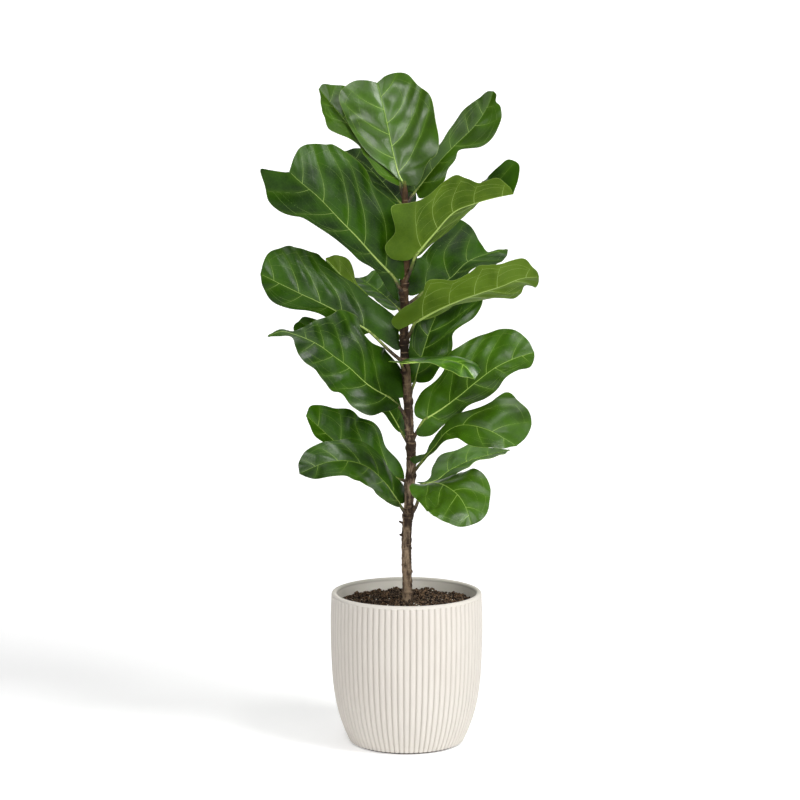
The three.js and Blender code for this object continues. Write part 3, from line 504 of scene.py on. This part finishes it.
def rod(points, radii, sides):
    """Vertices and faces of a round rod along points, closed at both ends."""
    points = np.asarray(points, float)
    tangents = unit(np.gradient(points, axis=0))
    side = np.cross([0, 1, 0], tangents[0])
    angles = turns(sides)
    rings = []
    for point, tangent, radius in zip(points, tangents, radii):
        side = unit(side - side @ tangent * tangent)
        other = np.cross(tangent, side)
        ring = np.outer(np.cos(angles), side) + np.outer(np.sin(angles), other)
        rings.append(point + radius * ring)
    vertices = np.vstack(rings + [points[:1], points[-1:]])
    faces = grid_faces(len(points), sides, closed=True)
    foot, tip = len(vertices) - 2, len(vertices) - 1
    top = (len(points) - 1) * sides
    for j in range(sides):
        k = (j + 1) % sides
        faces.append((foot, k, j))
        faces.append((tip, top + j, top + k))
    return vertices, faces


def placed(name, data):
    """A new object that holds data, put into the scene."""
    made = bpy.data.objects.new(name, data)
    bpy.context.scene.collection.objects.link(made)
    return made


class Piece:
    """Collects the parts of one mesh, with a material and three values for each vertex."""

    def __init__(self):
        self.vertices, self.faces, self.slots, self.looks = [], [], [], []
        self.count = 0

    def add(self, vertices, faces, slot=0, look=(0.0, 0.0, 0.0)):
        vertices = np.asarray(vertices, float).reshape(-1, 3)
        self.vertices.append(vertices)
        self.faces += [tuple(self.count + k for k in face) for face in faces]
        self.slots += [slot] * len(faces)
        self.looks.append(np.broadcast_to(look, vertices.shape))
        self.count += len(vertices)

    def build(self, name, materials, smooth=True):
        mesh = bpy.data.meshes.new(name)
        mesh.from_pydata((np.vstack(self.vertices) * MM).tolist(), [], self.faces)
        for material in materials:
            mesh.materials.append(material)
        mesh.polygons.foreach_set("material_index", np.array(self.slots, np.int32))
        mesh.polygons.foreach_set("use_smooth", np.full(len(mesh.polygons), smooth))
        layer = mesh.attributes.new("look", "FLOAT_VECTOR", "POINT")
        layer.data.foreach_set("vector", np.vstack(self.looks).astype(np.float32).ravel())
        mesh.update()
        return placed(name, mesh)

    def dress(self, name, materials, node, smooth=True):
        """Builds the mesh as a piece of the plant that stands in for a solid."""
        made = self.build(name, materials, smooth)
        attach(made, "root")
        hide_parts(node)


# Materials

def linear(colour):
    """A colour given as 0 to 255 on screen, as the shader's linear RGBA."""
    shares = [c / 255 for c in colour]
    return *(c / 12.92 if c <= 0.04045 else ((c + 0.055) / 1.055) ** 2.4 for c in shares), 1.0


class Nodes:
    """Builds a material's node tree one short line at a time."""

    def __init__(self, name):
        self.material = bpy.data.materials.new(name)
        self.material.use_nodes = True
        self.tree = self.material.node_tree
        self.tree.nodes.clear()
        self.output = self.tree.nodes.new("ShaderNodeOutputMaterial")
        self.spot = self.add("TexCoord").outputs["Object"]

    def add(self, kind, inputs=None, **settings):
        node = self.tree.nodes.new("ShaderNode" + kind)
        for key, value in settings.items():
            setattr(node, key, value)
        for key, value in (inputs or {}).items():
            self.feed(node.inputs[key], value)
        return node

    def feed(self, socket, value):
        if isinstance(value, bpy.types.NodeSocket):
            self.tree.links.new(value, socket)
        else:
            socket.default_value = value

    def look(self):
        """The three values that each vertex carries."""
        carried = self.add("Attribute", attribute_name="look").outputs["Vector"]
        return self.add("SeparateXYZ", {0: carried}).outputs

    def place(self):
        """Where the point lies, as x, y and z."""
        return self.add("SeparateXYZ", {0: self.spot}).outputs

    def times(self, a, b):
        return self.add("Math", {0: a, 1: b}, operation="MULTIPLY").outputs[0]

    def plus(self, a, b):
        return self.add("Math", {0: a, 1: b}, operation="ADD").outputs[0]

    def stretched(self, x, y, z):
        return self.add("Mapping", {"Vector": self.spot, "Scale": (x, y, z)}).outputs[0]

    def noise(self, scale, detail=3.0, rough=0.5, place=None):
        place = place or self.spot
        inputs = {"Vector": place, "Scale": scale, "Detail": detail, "Roughness": rough}
        return self.add("TexNoise", inputs).outputs["Fac"]

    def ramp(self, value, low, high, out_low=0.0, out_high=1.0):
        inputs = {0: value, 1: low, 2: high, 3: out_low, 4: out_high}
        return self.add("MapRange", inputs, interpolation_type="SMOOTHSTEP").outputs[0]

    def mix(self, share, a, b):
        """From a to b; a plain tuple is a colour as on screen."""
        a, b = [linear(c) if isinstance(c, tuple) else c for c in (a, b)]
        return self.add("Mix", {0: share, 6: a, 7: b}, data_type="RGBA").outputs[2]

    def brightened(self, colour, factor):
        inputs = {0: colour, "Scale": factor}
        return self.add("VectorMath", inputs, operation="SCALE").outputs[0]

    def bump(self, height, strength, distance):
        inputs = {"Height": height, "Strength": strength, "Distance": distance}
        return self.add("Bump", inputs).outputs[0]

    def finish(self, colour, roughness, normal, specular, glow=0.0):
        """The surface itself; glow is the share of light that comes through it."""
        inputs = {"Base Color": colour, "Roughness": roughness, "Specular IOR Level": specular}
        if normal is not None:
            inputs["Normal"] = normal
        result = self.add("BsdfPrincipled", inputs).outputs[0]
        if glow:
            through = self.add("BsdfTranslucent", {"Color": self.brightened(colour, 1.4)})
            shares = {0: glow, 1: result, 2: through.outputs[0]}
            result = self.add("MixShader", shares).outputs[0]
        self.feed(self.output.inputs[0], result)
        return self.material


def leaf_material(name, skin, warm, gloss):
    """The skin of a blade: mottled green, paler by its veins and along its margin."""
    n = Nodes(name)
    near, side, painted_light = n.look()
    patchy = n.noise(16.0)
    grain = n.noise(90.0, 2.0)
    cells = n.add("TexVoronoi", {"Vector": n.spot, "Scale": 190.0}, feature="DISTANCE_TO_EDGE")
    net = n.ramp(cells.outputs["Distance"], 0.0, 0.12, 1.0, 0.0)
    base = n.mix(n.ramp(patchy, 0.35, 0.65), skin["dark"], skin["mid"])
    base = n.mix(warm, base, skin["yellow"])
    base = n.mix(n.times(near, 0.3), base, skin["light"])
    base = n.mix(n.times(net, 0.1), base, skin["light"])
    base = n.mix(n.times(n.ramp(grain, 0.5, 0.75), 0.15), base, skin["dark"])
    base = n.mix(n.times(n.ramp(side, 0.984, 1.0), 0.7), base, skin["rim"])
    # Painted light and shade: the whole blade made brighter or darker by one factor per leaf.
    base = n.brightened(base, painted_light)
    relief = n.plus(n.times(n.noise(60.0, 2.0), 0.8), n.times(net, skin["net"]))
    normal = n.bump(relief, 0.5, 0.0008)
    rough = n.ramp(grain, 0.3, 0.8, *skin["rough"])
    return n.finish(base, rough, normal, skin["shine"] * gloss, skin["glow"])


def vein_material(name, skin):
    """Veins: pale where they are thick and fading into the blade's green where they end."""
    n = Nodes(name)
    strength, _, painted_light = n.look()
    # Veins take the leaf's painted light and shade too.
    base = n.brightened(n.mix(strength, skin["vein_end"], skin["vein"]), painted_light)
    return n.finish(base, 0.5, None, 0.35)


def stalk_material():
    """Leaf stalks: brown where they leave the trunk and green by the blade."""
    n = Nodes("stalk")
    run, _, painted_light = n.look()
    mottle = n.noise(160.0)
    green = n.mix(n.ramp(mottle, 0.4, 0.65), *STALK_GREENS)
    brown = n.mix(n.ramp(mottle, 0.4, 0.65), *STALK_BROWNS)
    base = n.mix(n.ramp(run, 0.3, 0.85), brown, green)
    # Stalks take a milder share of the leaf's painted light and shade.
    base = n.brightened(base, n.ramp(painted_light, 0.0, 2.0, 0.8, 1.2))
    return n.finish(base, 0.5, n.bump(mottle, 0.3, 0.0006), 0.4)


def bark_material():
    """Bark: paler low down and darker above, with cracks, scars and rings."""
    n = Nodes("bark")
    height = n.place()[2]
    coarse = n.noise(70.0, 5.0, 0.65, n.stretched(1.0, 1.0, 0.3))
    fine = n.noise(280.0, 4.0, 0.7, n.stretched(1.0, 1.0, 0.35))
    rings = n.noise(110.0, 3.0, 0.5, n.stretched(0.4, 0.4, 2.2))
    low = n.mix(n.ramp(coarse, 0.42, 0.6), *BARK_LOW)
    high = n.mix(n.ramp(coarse, 0.4, 0.6), *BARK_HIGH)
    base = n.mix(n.ramp(height, 0.36, 0.7), low, high)
    base = n.mix(n.times(n.ramp(fine, 0.5, 0.68), 0.6), base, BARK_CRACK)
    base = n.mix(n.times(n.look()[0], 0.75), base, BARK_SCAR)
    base = n.mix(n.times(n.ramp(rings, 0.56, 0.72), 0.45), base, BARK_RING)
    base = n.mix(n.ramp(height, 0.872, 0.884), base, BARK_TIP)
    relief = n.plus(coarse, n.plus(n.times(fine, 0.6), n.times(rings, 0.5)))
    return n.finish(base, 0.86, n.bump(relief, 0.9, 0.0014), 0.25)


def pot_material():
    """Matt glaze with painted shade in the grooves, painted shadow on the foot, painted light
    inside.
    """
    n = Nodes("pot_ceramic")
    cloud = n.noise(6.0)
    speck = n.noise(420.0, 2.0)
    base = n.mix(n.ramp(cloud, 0.3, 0.7), *GLAZE)
    base = n.mix(n.times(n.ramp(speck, 0.6, 0.75), 0.1), base, GLAZE_SPECK)
    groove, inside, foot = n.look()
    # Painted shade down in the grooves, as deep as each groove.
    base = n.mix(n.times(groove, 0.5), base, GLAZE_GROOVE_SHADE)
    # Painted light on the inside wall.
    base = n.mix(inside, base, GLAZE_INSIDE_LIGHT)
    # Painted contact shadow on the foot.
    base = n.mix(foot, base, GLAZE_FOOT_SHADOW)
    return n.finish(base, 0.75, n.bump(n.noise(500.0, 2.0), 0.12, 0.0004), 0.25)


def soil_material(name, dark, light):
    n = Nodes(name)
    grain = n.noise(340.0, 4.0, 0.7)
    base = n.mix(n.ramp(grain, 0.46, 0.62), dark, light)
    return n.finish(base, 0.95, n.bump(grain, 0.8, 0.001), 0.12)


# The pot, the soil and the trunk

def make_pot():
    across = np.tile(np.linspace(-1, 1, REED_POINTS, endpoint=False), REEDS)
    count = len(across)
    groove = 1 - np.sqrt(1 - np.abs(across) ** REED_POWER)
    outside = smooth_line(POT_OUTSIDE, 400)
    rings = [(POT_FOOT_RADIUS, 0), (POT_FOOT_RADIUS, POT_FOOT_HEIGHT)]
    foot_rings = len(rings)
    heights = np.concatenate([np.linspace(*stretch) for stretch in REED_RINGS])
    fades = np.clip((REED_TOP - heights) / REED_FADE, 0, 1)
    for z, fade in zip(heights, fades):
        radius = np.interp(z, outside[:, 1], outside[:, 0])
        rings.append((radius - REED_DEPTH * groove * fade ** 0.5, z))
    middle = (POT_LIP_OUTER + POT_LIP_INNER) / 2
    half = (POT_LIP_OUTER - POT_LIP_INNER) / 2
    for angle in np.radians(np.linspace(0, 180, POT_LIP_RINGS)):
        z = POT_LIP_TOP - POT_LIP_ROUND * (1 - math.sin(angle) ** POT_LIP_POWER)
        rings.append((middle + half * math.cos(angle), z))
    rings += POT_INSIDE
    angles = turns(count) + math.pi / REEDS
    rows = []
    for radius, z in rings:
        level = np.full(count, z)
        rows.append(np.stack([radius * np.cos(angles), radius * np.sin(angles), level], -1))
    look = np.zeros((len(rows), count, 3))
    # Marks the grooves for their painted shade.
    look[foot_rings:foot_rings + len(heights), :, 0] = groove * fades[:, None]
    # Marks the inside wall for its painted light.
    look[-len(POT_INSIDE):, :, 1] = 1
    # Marks the foot rings for their painted contact shadow.
    look[:foot_rings, :, 2] = 1
    pot = Piece()
    pot.add(rows, grid_faces(len(rows), count, closed=True), 0, look.reshape(-1, 3))
    base = np.vstack([rows[0], [[0, 0, 0]]])
    pot.add(base, [(count, (j + 1) % count, j) for j in range(count)])
    pot.dress("pot_fluted", [pot_material()], "pot")


def crumb(centre, size, rng):
    """A small rough lump: a cube with its corners pushed about, turned and tilted."""
    corners = np.array([[x, y, z] for x in (-1, 1) for y in (-1, 1) for z in (-1, 1)], float)
    corners *= rng.uniform(0.45, 1.0, (8, 3)) * size * rng.uniform(0.6, 1.2, 3)
    turn, tilt = rng.uniform(0, math.tau), rng.uniform(-0.7, 0.7)
    c, s = math.cos(turn), math.sin(turn)
    spin = np.array([[c, -s, 0], [s, c, 0], [0, 0, 1]])
    c, s = math.cos(tilt), math.sin(tilt)
    lean = np.array([[1, 0, 0], [0, c, -s], [0, s, c]])
    faces = [(0, 1, 3, 2), (4, 6, 7, 5), (0, 4, 5, 1), (2, 3, 7, 6), (0, 2, 6, 4), (1, 5, 7, 3)]
    return corners @ spin.T @ lean.T + centre, faces


def make_soil():
    rng = np.random.default_rng(SOIL_SEED)
    radii = np.linspace(SOIL_RADIUS, SOIL_HOLE, SOIL_RINGS)
    r, a = np.meshgrid(radii, turns(SOIL_SIDES), indexing="ij")
    aside = TRUNK_LINE[0][0] * (1 - r / SOIL_RADIUS)
    flat = np.stack([r * np.cos(a) + aside, r * np.sin(a)], -1)
    z = SOIL_EDGE + SOIL_RISE * (1 - (r / SOIL_RADIUS) ** 2)
    for height, scale, seed in SOIL_WAVES:
        z = z + height * waves(flat, scale, seed)
    top = np.concatenate([flat, z[..., None]], -1)
    soil = Piece()
    soil.add(top, grid_faces(SOIL_RINGS, SOIL_SIDES, closed=True))
    for slot, (number, low, high, *_) in enumerate(CRUMBS.values()):
        for _ in range(number):
            out = SOIL_RADIUS * 0.965 * math.sqrt(rng.uniform(0.008, 1))
            angle = rng.uniform(0, math.tau)
            ring = int((SOIL_RADIUS - out) / (SOIL_RADIUS - SOIL_HOLE) * (SOIL_RINGS - 1))
            side = int(angle / math.tau * SOIL_SIDES) % SOIL_SIDES
            size = rng.uniform(low, high)
            level = z[ring, side] + 0.25 * size
            centre = [out * math.cos(angle), out * math.sin(angle), level]
            soil.add(*crumb(centre, size, rng), slot)
    materials = [soil_material(name, *kind[3:]) for name, kind in CRUMBS.items()]
    soil.dress("soil_crumbs", materials, "soil", smooth=False)


def make_trunk():
    line = smooth_line([p[:3] for p in TRUNK_LINE[1:]], 900)
    z = np.linspace(TRUNK_BOTTOM, line[-1, 2], TRUNK_STEPS)
    radius = np.interp(z, [p[2] for p in TRUNK_LINE], [p[3] for p in TRUNK_LINE])[:, None]
    rng = np.random.default_rng(TRUNK_SEED)
    angles = turns(TRUNK_SIDES)
    around = np.stack([np.cos(angles), np.sin(angles)], -1)
    level = np.broadcast_to(z[:, None, None], (TRUNK_STEPS, TRUNK_SIDES, 1))
    shell = np.broadcast_to(around * 8, (TRUNK_STEPS, TRUNK_SIDES, 2))
    spots = np.concatenate([shell, level], -1)
    wide = radius
    for height, stretch, scale, seed in BARK_WAVES:
        wide = wide + height * waves(spots * stretch, scale, seed)
    scars = np.zeros(wide.shape)
    for leaf in LEAVES.values():
        foot, after = leaf["stalk"][:2]
        facing = 0.5 + 0.5 * np.cos(angles - math.atan2(after[1] - foot[1], after[0] - foot[0]))
        swelling = bump(z - foot[2], LEAF_SWELL_WIDTH)[:, None] * facing ** 2
        wide = wide + LEAF_SWELL * swelling
        scars = np.maximum(scars, swelling)
    for node in np.arange(SCAR_FIRST, SCAR_LAST, SCAR_SPACING):
        at = node + rng.uniform(-4, 4)
        turn = rng.uniform(0, math.tau)
        facing = 0.45 + 0.55 * np.cos(angles - turn)
        scar = bump(z - at, rng.uniform(1.4, 2.6))[:, None] * facing ** 2
        wide = wide + rng.uniform(0.5, 2.0) * scar
        scars = np.maximum(scars, SCAR_DEPTH * scar)
    fade = np.clip((BARK_FADE_TOP - z) / BARK_FADE, 0.1, 1)[:, None]
    wide = radius + (wide - radius) * fade
    middle = between(line[:, :2], line[:, 2], z)[:, None]
    flat = middle + around[None] * wide[..., None]
    faces = grid_faces(TRUNK_STEPS, TRUNK_SIDES, closed=True)
    faces.append(tuple((TRUNK_STEPS - 1) * TRUNK_SIDES + j for j in range(TRUNK_SIDES)))
    look = np.zeros((TRUNK_STEPS, TRUNK_SIDES, 3))
    look[..., 0] = scars
    trunk = Piece()
    trunk.add(np.concatenate([flat, level], -1), faces, 0, look.reshape(-1, 3))
    for foot, tip, size in STUBS:
        radii = size * np.array(STUB_SHAPE)
        trunk.add(*rod(smooth_line([foot, tip], len(radii) - 1), radii, 14), 0, (0.9, 0.0, 0.0))
    trunk.dress("trunk_bark", [bark_material()], "trunk")


# The leaves

class Rib:
    """A leaf's midrib line with its tangent, upper-side and rightward arrows."""

    STEPS = 200

    def __init__(self, shape):
        self.points = smooth_line(shape["rib"], self.STEPS)
        self.run = distances(self.points)
        self.length = self.run[-1]
        self.tangents = unit(np.gradient(self.points, axis=0))
        faces = np.array(shape["face"], float)
        run = np.linspace(0, 1, len(faces))
        up = between(faces, run, np.linspace(0, 1, self.STEPS + 1))
        self.up = unit(up - (up * self.tangents).sum(-1, keepdims=True) * self.tangents)
        self.out = np.cross(self.tangents, self.up)

    def at(self, u):
        """Point, up and out at u mm, running straight on past both ends."""
        inside = np.clip(u, 0, self.length)
        lines = (self.points, self.tangents, self.up, self.out)
        point, tangent, up, out = [between(line, self.run, inside) for line in lines]
        return point + unit(tangent) * (u - inside)[..., None], unit(up), unit(out)


def blade_grid(shape, rib):
    """Rows of points as mm along, mm out and share of the way out, and the two margins."""
    margins = []
    for key in ("left", "right"):
        outline = [[0, 0], *shape[key], [100, 0]]
        margins.append(smooth_line([[p / 100 * rib.length, out] for p, out in outline], ROWS))
    swept = [np.clip(m[:, 0] - VEIN_SWEEP * m[:, 1], 0, rib.length) for m in margins]
    middle = np.maximum.accumulate((swept[0] + swept[1]) / 2)
    columns = np.arange(-COLUMNS, COLUMNS + 1)
    u = np.zeros((ROWS + 1, len(columns)))
    v = np.zeros(u.shape)
    inner = np.arange(ROWS + 1) % ROWS != 0
    for c, j in enumerate(columns):
        edge = margins[0 if j < 0 else 1]
        part = abs(j) / COLUMNS
        reach = np.where(inner, np.maximum(edge[:, 1], LOBE_GAP / 2), 0)
        u[:, c] = middle * (1 - part) + edge[:, 0] * part
        v[:, c] = part * reach
    first = int(middle[1] < 0.1)
    end = ROWS if rib.length - middle[ROWS - 1] < 0.1 else ROWS + 1
    side = np.broadcast_to(np.abs(columns) / COLUMNS, u.shape)
    return u[first:end], v[first:end], side[first:end], margins


def vein(line, kind):
    """A vein's line with its widths and its palenesses, which both fall off along it."""
    share = np.linspace(0, 1, len(line))
    width, width_loss, strength, strength_loss = kind
    return line, width - width_loss * share, strength - strength_loss * share


class Blade:
    """A leaf's blade: where its points lie, its puckering and its veins."""

    def __init__(self, shape, seed):
        self.shape, self.seed = shape, seed
        self.rib = Rib(shape)
        self.length = self.rib.length
        self.u, self.v, self.side, self.margins = blade_grid(shape, self.rib)
        rng = np.random.default_rng(seed)
        count = max(4, round(self.length / VEIN_PITCH))
        self.starts = []
        for offset in VEIN_OFFSETS:
            place = np.arange(count) + offset + rng.uniform(-0.12, 0.12, count)
            self.starts.append(self.length * place / count)

    def plain(self, half, u, v):
        """Points u mm along the midrib and v mm out over the left or right half."""
        share = u / self.length
        lift = np.radians(along(self.shape["lift"][half], share))
        bend = np.radians(along(self.shape["curl"][half], share)) / CURL_WIDTH
        bend = np.where(np.abs(bend) < 1e-6, 1e-6, bend)
        out = (np.sin(lift + bend * v) - np.sin(lift)) / bend
        rise = (np.cos(lift) - np.cos(lift + bend * v)) / bend
        height, count, phase = self.shape["wave"]
        turn = math.tau * count * share + math.radians(phase) + RUFFLE_SHIFT * half
        ruffle = height * np.sin(turn) * (np.abs(v) / CURL_WIDTH) ** RUFFLE_POWER
        point, up, outward = self.rib.at(u)
        return point + outward * (SIGNS[half] * out)[..., None] + up * (rise + ruffle)[..., None]

    def gap(self, half, u, v):
        """Distance from the nearest side vein or from the midrib, whichever is less."""
        start = u - VEIN_SLOPE * v - VEIN_BEND * v * v
        steep = np.hypot(1, VEIN_SLOPE + 2 * VEIN_BEND * v)
        aside = np.abs(start[..., None] - self.starts[half]).min(-1) / steep
        return np.minimum(aside, v)

    def surface(self, half, u, v):
        """Points of the puckered blade and the arrows that point out of its upper side."""
        lengthwise = self.plain(half, u + 0.5, v) - self.plain(half, u - 0.5, v)
        across = self.plain(half, u, v + 0.5) - self.plain(half, u, v - 0.5)
        normal = unit(np.cross(across, lengthwise)) * SIGNS[half]
        swell = PUCKER * (1 - bump(self.gap(half, u, v), PUCKER_WIDTH))
        flat = np.stack([u, v * SIGNS[half]], -1)
        warp = WARP * waves(flat, WARP_SCALE, self.seed) * np.minimum(v / WARP_START, 1)
        return self.plain(half, u, v) + normal * (swell + warp)[..., None], normal

    def room(self, half, u, v):
        """How far inside the margin points of the blade lie, below 0 outside it."""
        a, b = self.margins[half][:-1], self.margins[half][1:]
        p = np.stack([u, v], -1)[..., None, :]
        way = b - a
        share = ((p - a) * way).sum(-1) / np.maximum((way ** 2).sum(-1), 1e-9)
        near = a + np.clip(share, 0, 1)[..., None] * way
        gap = np.linalg.norm(p - near, axis=-1).min(-1)
        level = v[..., None]
        crosses = (a[:, 1] > level) != (b[:, 1] > level)
        rise = np.where(np.abs(way[:, 1]) < 1e-9, 1e-9, way[:, 1])
        meets = a[:, 0] + (level - a[:, 1]) / rise * way[:, 0]
        inside = (crosses & (u[..., None] < meets)).sum(-1) % 2 == 1
        return np.where(inside, gap, -gap)

    def kept(self, half, line, space):
        """The start of a line of the blade, up to where it comes too close to the margin."""
        close = np.flatnonzero(self.room(half, line[:, 0], line[:, 1])[2:] < space)
        return line[:close[0] + 2] if len(close) else line

    def side_veins(self, half):
        """The lines of the veins that leave the midrib, each up to near the margin."""
        v = np.arange(0, 130, 2.0)
        lines = []
        for start in self.starts[half]:
            line = np.stack([start + VEIN_SLOPE * v + VEIN_BEND * v * v, v], -1)
            line = self.kept(half, line, SIDE_VEIN_ROOM)
            if len(line) > 4:
                lines.append(line)
        return lines

    def veins(self, half):
        """Side veins, the loops that join them and fine cross veins."""
        rng = np.random.default_rng(self.seed + 100 * half)
        mains = self.side_veins(half)
        found = [vein(line, SIDE_VEIN) for line in mains]
        for one, other in zip(mains, mains[1:]):
            for leave, arrive, out in LOOPS:
                a = one[int(leave * (len(one) - 1))]
                b = other[int(arrive * (len(other) - 1))]
                found.append(vein(self.kept(half, bow(a, b, out), FINE_VEIN_ROOM), LOOP_VEIN))
            for k in range(4, min(len(one), len(other)) - 1, CROSS_VEIN_STEP):
                a = one[k] + rng.uniform(-1, 1, 2)
                b = other[max(k - 2, 1)] + rng.uniform(-1, 1, 2)
                line = self.kept(half, bow(a, b, rng.uniform(0.5, 3)), FINE_VEIN_ROOM)
                found.append(vein(line, CROSS_VEIN))
        return [one for one in found if len(one[0]) > 3]


UPPER, UNDER, VEIN_UPPER, VEIN_UNDER, STALK = range(5)


def line_look(first, painted_light):
    """The values that points of a line carry: a first one of their own, and painted light and
    shade.
    """
    return np.stack([first, first * 0, first * 0 + painted_light], -1)


def add_ridge(piece, points, normals, widths, heights, slot, look):
    """A low rounded strip along points of a skin, standing out along the normals."""
    across = unit(np.cross(np.gradient(points, axis=0), normals))
    rows = []
    for x, y in RIDGE:
        aside = across * (0.5 * x * widths)[:, None]
        rows.append(points + aside + normals * (y * heights)[:, None])
    look = np.repeat(look, len(RIDGE), 0)
    piece.add(np.stack(rows, 1), grid_faces(len(points), len(RIDGE)), slot, look)


def add_skins(piece, blade, painted_light):
    """The upper and the under side of a blade and the rim that joins them."""
    rows, columns = blade.u.shape
    mid = columns // 2
    skin = np.zeros((rows, columns, 3))
    near = np.zeros((rows, columns))
    for half, part in enumerate((slice(0, mid), slice(mid, columns))):
        u, v = blade.u[:, part], blade.v[:, part]
        skin[:, part] = blade.surface(half, u, v)[0]
        near[:, part] = bump(blade.gap(half, u, v), PALE_WIDTH)
    facing = np.cross(skin[1:, 1:] - skin[:-1, :-1], skin[1:, :-1] - skin[:-1, 1:])
    normals = np.zeros(skin.shape)
    for i in (slice(0, -1), slice(1, None)):
        for j in (slice(0, -1), slice(1, None)):
            normals[i, j] += facing
    normals = unit(normals)
    thin = 0.5 * BLADE_THICKNESS * (1 - 0.5 * blade.side ** 8)
    upper = (skin + normals * thin[..., None]).reshape(-1, 3)
    under = (skin - normals * thin[..., None]).reshape(-1, 3)
    look = np.stack([near, blade.side, np.full(near.shape, painted_light)], -1).reshape(-1, 3)
    quads = grid_faces(rows, columns)
    piece.add(upper, quads, UPPER, look)
    piece.add(under, [face[::-1] for face in quads], UNDER, look)
    ring = list(range(columns))
    ring += [i * columns + columns - 1 for i in range(1, rows)]
    ring += [(rows - 1) * columns + j for j in range(columns - 2, -1, -1)]
    ring += [i * columns for i in range(rows - 2, 0, -1)]
    count = len(ring)
    rim = [(k, (k + 1) % count, (k + 1) % count + count, k + count) for k in range(count)]
    piece.add(np.vstack([upper[ring], under[ring]]), rim, UNDER, np.vstack([look[ring]] * 2))


def add_veins(piece, blade, painted_light):
    """Veins on both sides of a blade, standing out more under it."""
    for half in (0, 1):
        for line, widths, strengths in blade.veins(half):
            points, normals = blade.surface(half, line[:, 0], line[:, 1])
            look = line_look(strengths, painted_light)
            skin = normals * 0.5 * BLADE_THICKNESS
            add_ridge(piece, points + skin, normals, widths, 0.1 * widths, VEIN_UPPER, look)
            wide = 1.2 * widths
            add_ridge(piece, points - skin, -normals, wide, 0.4 * widths, VEIN_UNDER, look)


def add_midrib_and_stalk(piece, blade, painted_light):
    """The midrib on and under a blade, and the stalk that runs on into it."""
    share = np.linspace(0, 1, 80)
    u = share * blade.length * 0.985
    points, normals = blade.surface(1, u, np.full(u.shape, 0.02))
    look = line_look(1 - 0.25 * share, painted_light)
    widths = along(MIDRIB_WIDTH, share)
    top = points + normals * 0.5 * BLADE_THICKNESS
    add_ridge(piece, top, normals, widths, 0.14 * widths, VEIN_UPPER, look)
    radii = along(MIDRIB_RADIUS, share)
    ridge = points - normals * (0.35 * radii + 0.2)[:, None]
    vertices, faces = rod(ridge, radii, 10)
    piece.add(vertices, faces, VEIN_UNDER, (0.9, 0.0, painted_light))
    sunk = points[[0, 3]] - normals[[0, 3]] * 0.6
    line = smooth_line([*blade.shape["stalk"], *sunk], 24)
    run = np.linspace(0, 1, len(line))
    sides = 16
    vertices, faces = rod(line, along(STALK_RADIUS, run), sides)
    steps = np.r_[np.repeat(run, sides), run[0], run[-1]]
    piece.add(vertices, faces, STALK, line_look(steps, painted_light))


def make_leaves():
    shared = [vein_material("vein_" + side, skin) for side, skin in SKINS.items()]
    shared.append(stalk_material())
    for seed, (name, own) in enumerate(LEAVES.items()):
        # The first value of each leaf's look is its painted light and shade, a brightness factor.
        painted_light, warm, gloss = own["look"]
        blade = Blade({**PLAIN_LEAF, **own}, seed)
        leaf = Piece()
        add_skins(leaf, blade, painted_light)
        add_veins(leaf, blade, painted_light)
        add_midrib_and_stalk(leaf, blade, painted_light)
        skins = [
            leaf_material(name + "_" + side, skin, warm, gloss) for side, skin in SKINS.items()
        ]
        leaf.dress(name + "_fine", skins + shared, name)


# Floor, light and camera

def make_stage():
    n = Nodes("floor_white")
    shader = n.add("BsdfPrincipled", {
        "Base Color": (FLOOR_WHITE, FLOOR_WHITE, FLOOR_WHITE, 1.0),
        "Roughness": 0.9,
        "Specular IOR Level": 0.0,
        "Emission Color": (1.0, 1.0, 1.0, 1.0),
        "Emission Strength": n.ramp(n.place()[1], 0.2, 2.4, *FLOOR_GLOW),
    })
    n.feed(n.output.inputs[0], shader.outputs[0])
    profile = [(FLOOR_FRONT, 0), (FLOOR_BACK, 0)]
    for angle in np.radians(np.linspace(0, 90, FLOOR_CURVE_STEPS)):
        back = FLOOR_BACK + FLOOR_CURVE * math.sin(angle)
        profile.append((back, FLOOR_CURVE - FLOOR_CURVE * math.cos(angle)))
    profile.append((FLOOR_BACK + FLOOR_CURVE, WALL_TOP))
    edges = (-FLOOR_HALF_WIDTH, FLOOR_HALF_WIDTH)
    floor = Piece()
    floor.add([(x, y, z) for y, z in profile for x in edges], grid_faces(len(profile), 2))
    floor.build("floor", [n.material])


def make_light():
    world = bpy.data.worlds.new("studio")
    world.use_nodes = True
    background = world.node_tree.nodes["Background"]
    background.inputs[0].default_value = (1.0, 1.0, 1.0, 1.0)
    background.inputs[1].default_value = WORLD_LIGHT
    bpy.context.scene.world = world
    for name, (place, aim, size, power) in LIGHTS.items():
        light = bpy.data.lights.new(name, "AREA")
        light.shape = "DISK"
        light.size = size
        light.energy = power
        made = placed(name, light)
        made.location = place
        made.rotation_mode = "QUATERNION"
        made.rotation_quaternion = (Vector(aim) - Vector(place)).to_track_quat("-Z", "Y")


def make_camera():
    camera = bpy.data.cameras.new("camera")
    camera.sensor_width = CAMERA_SENSOR
    camera.lens = CAMERA_LENS
    made = placed("camera", camera)
    made.location = CAMERA_PLACE
    made.rotation_euler = (math.radians(90 - CAMERA_TILT), 0, 0)
    bpy.context.scene.camera = made


make_pot()
make_soil()
make_trunk()
make_leaves()
make_stage()
make_light()
make_camera()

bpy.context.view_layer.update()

view = bpy.context.scene.view_settings
view.view_transform = "Standard"
view.look = "None"
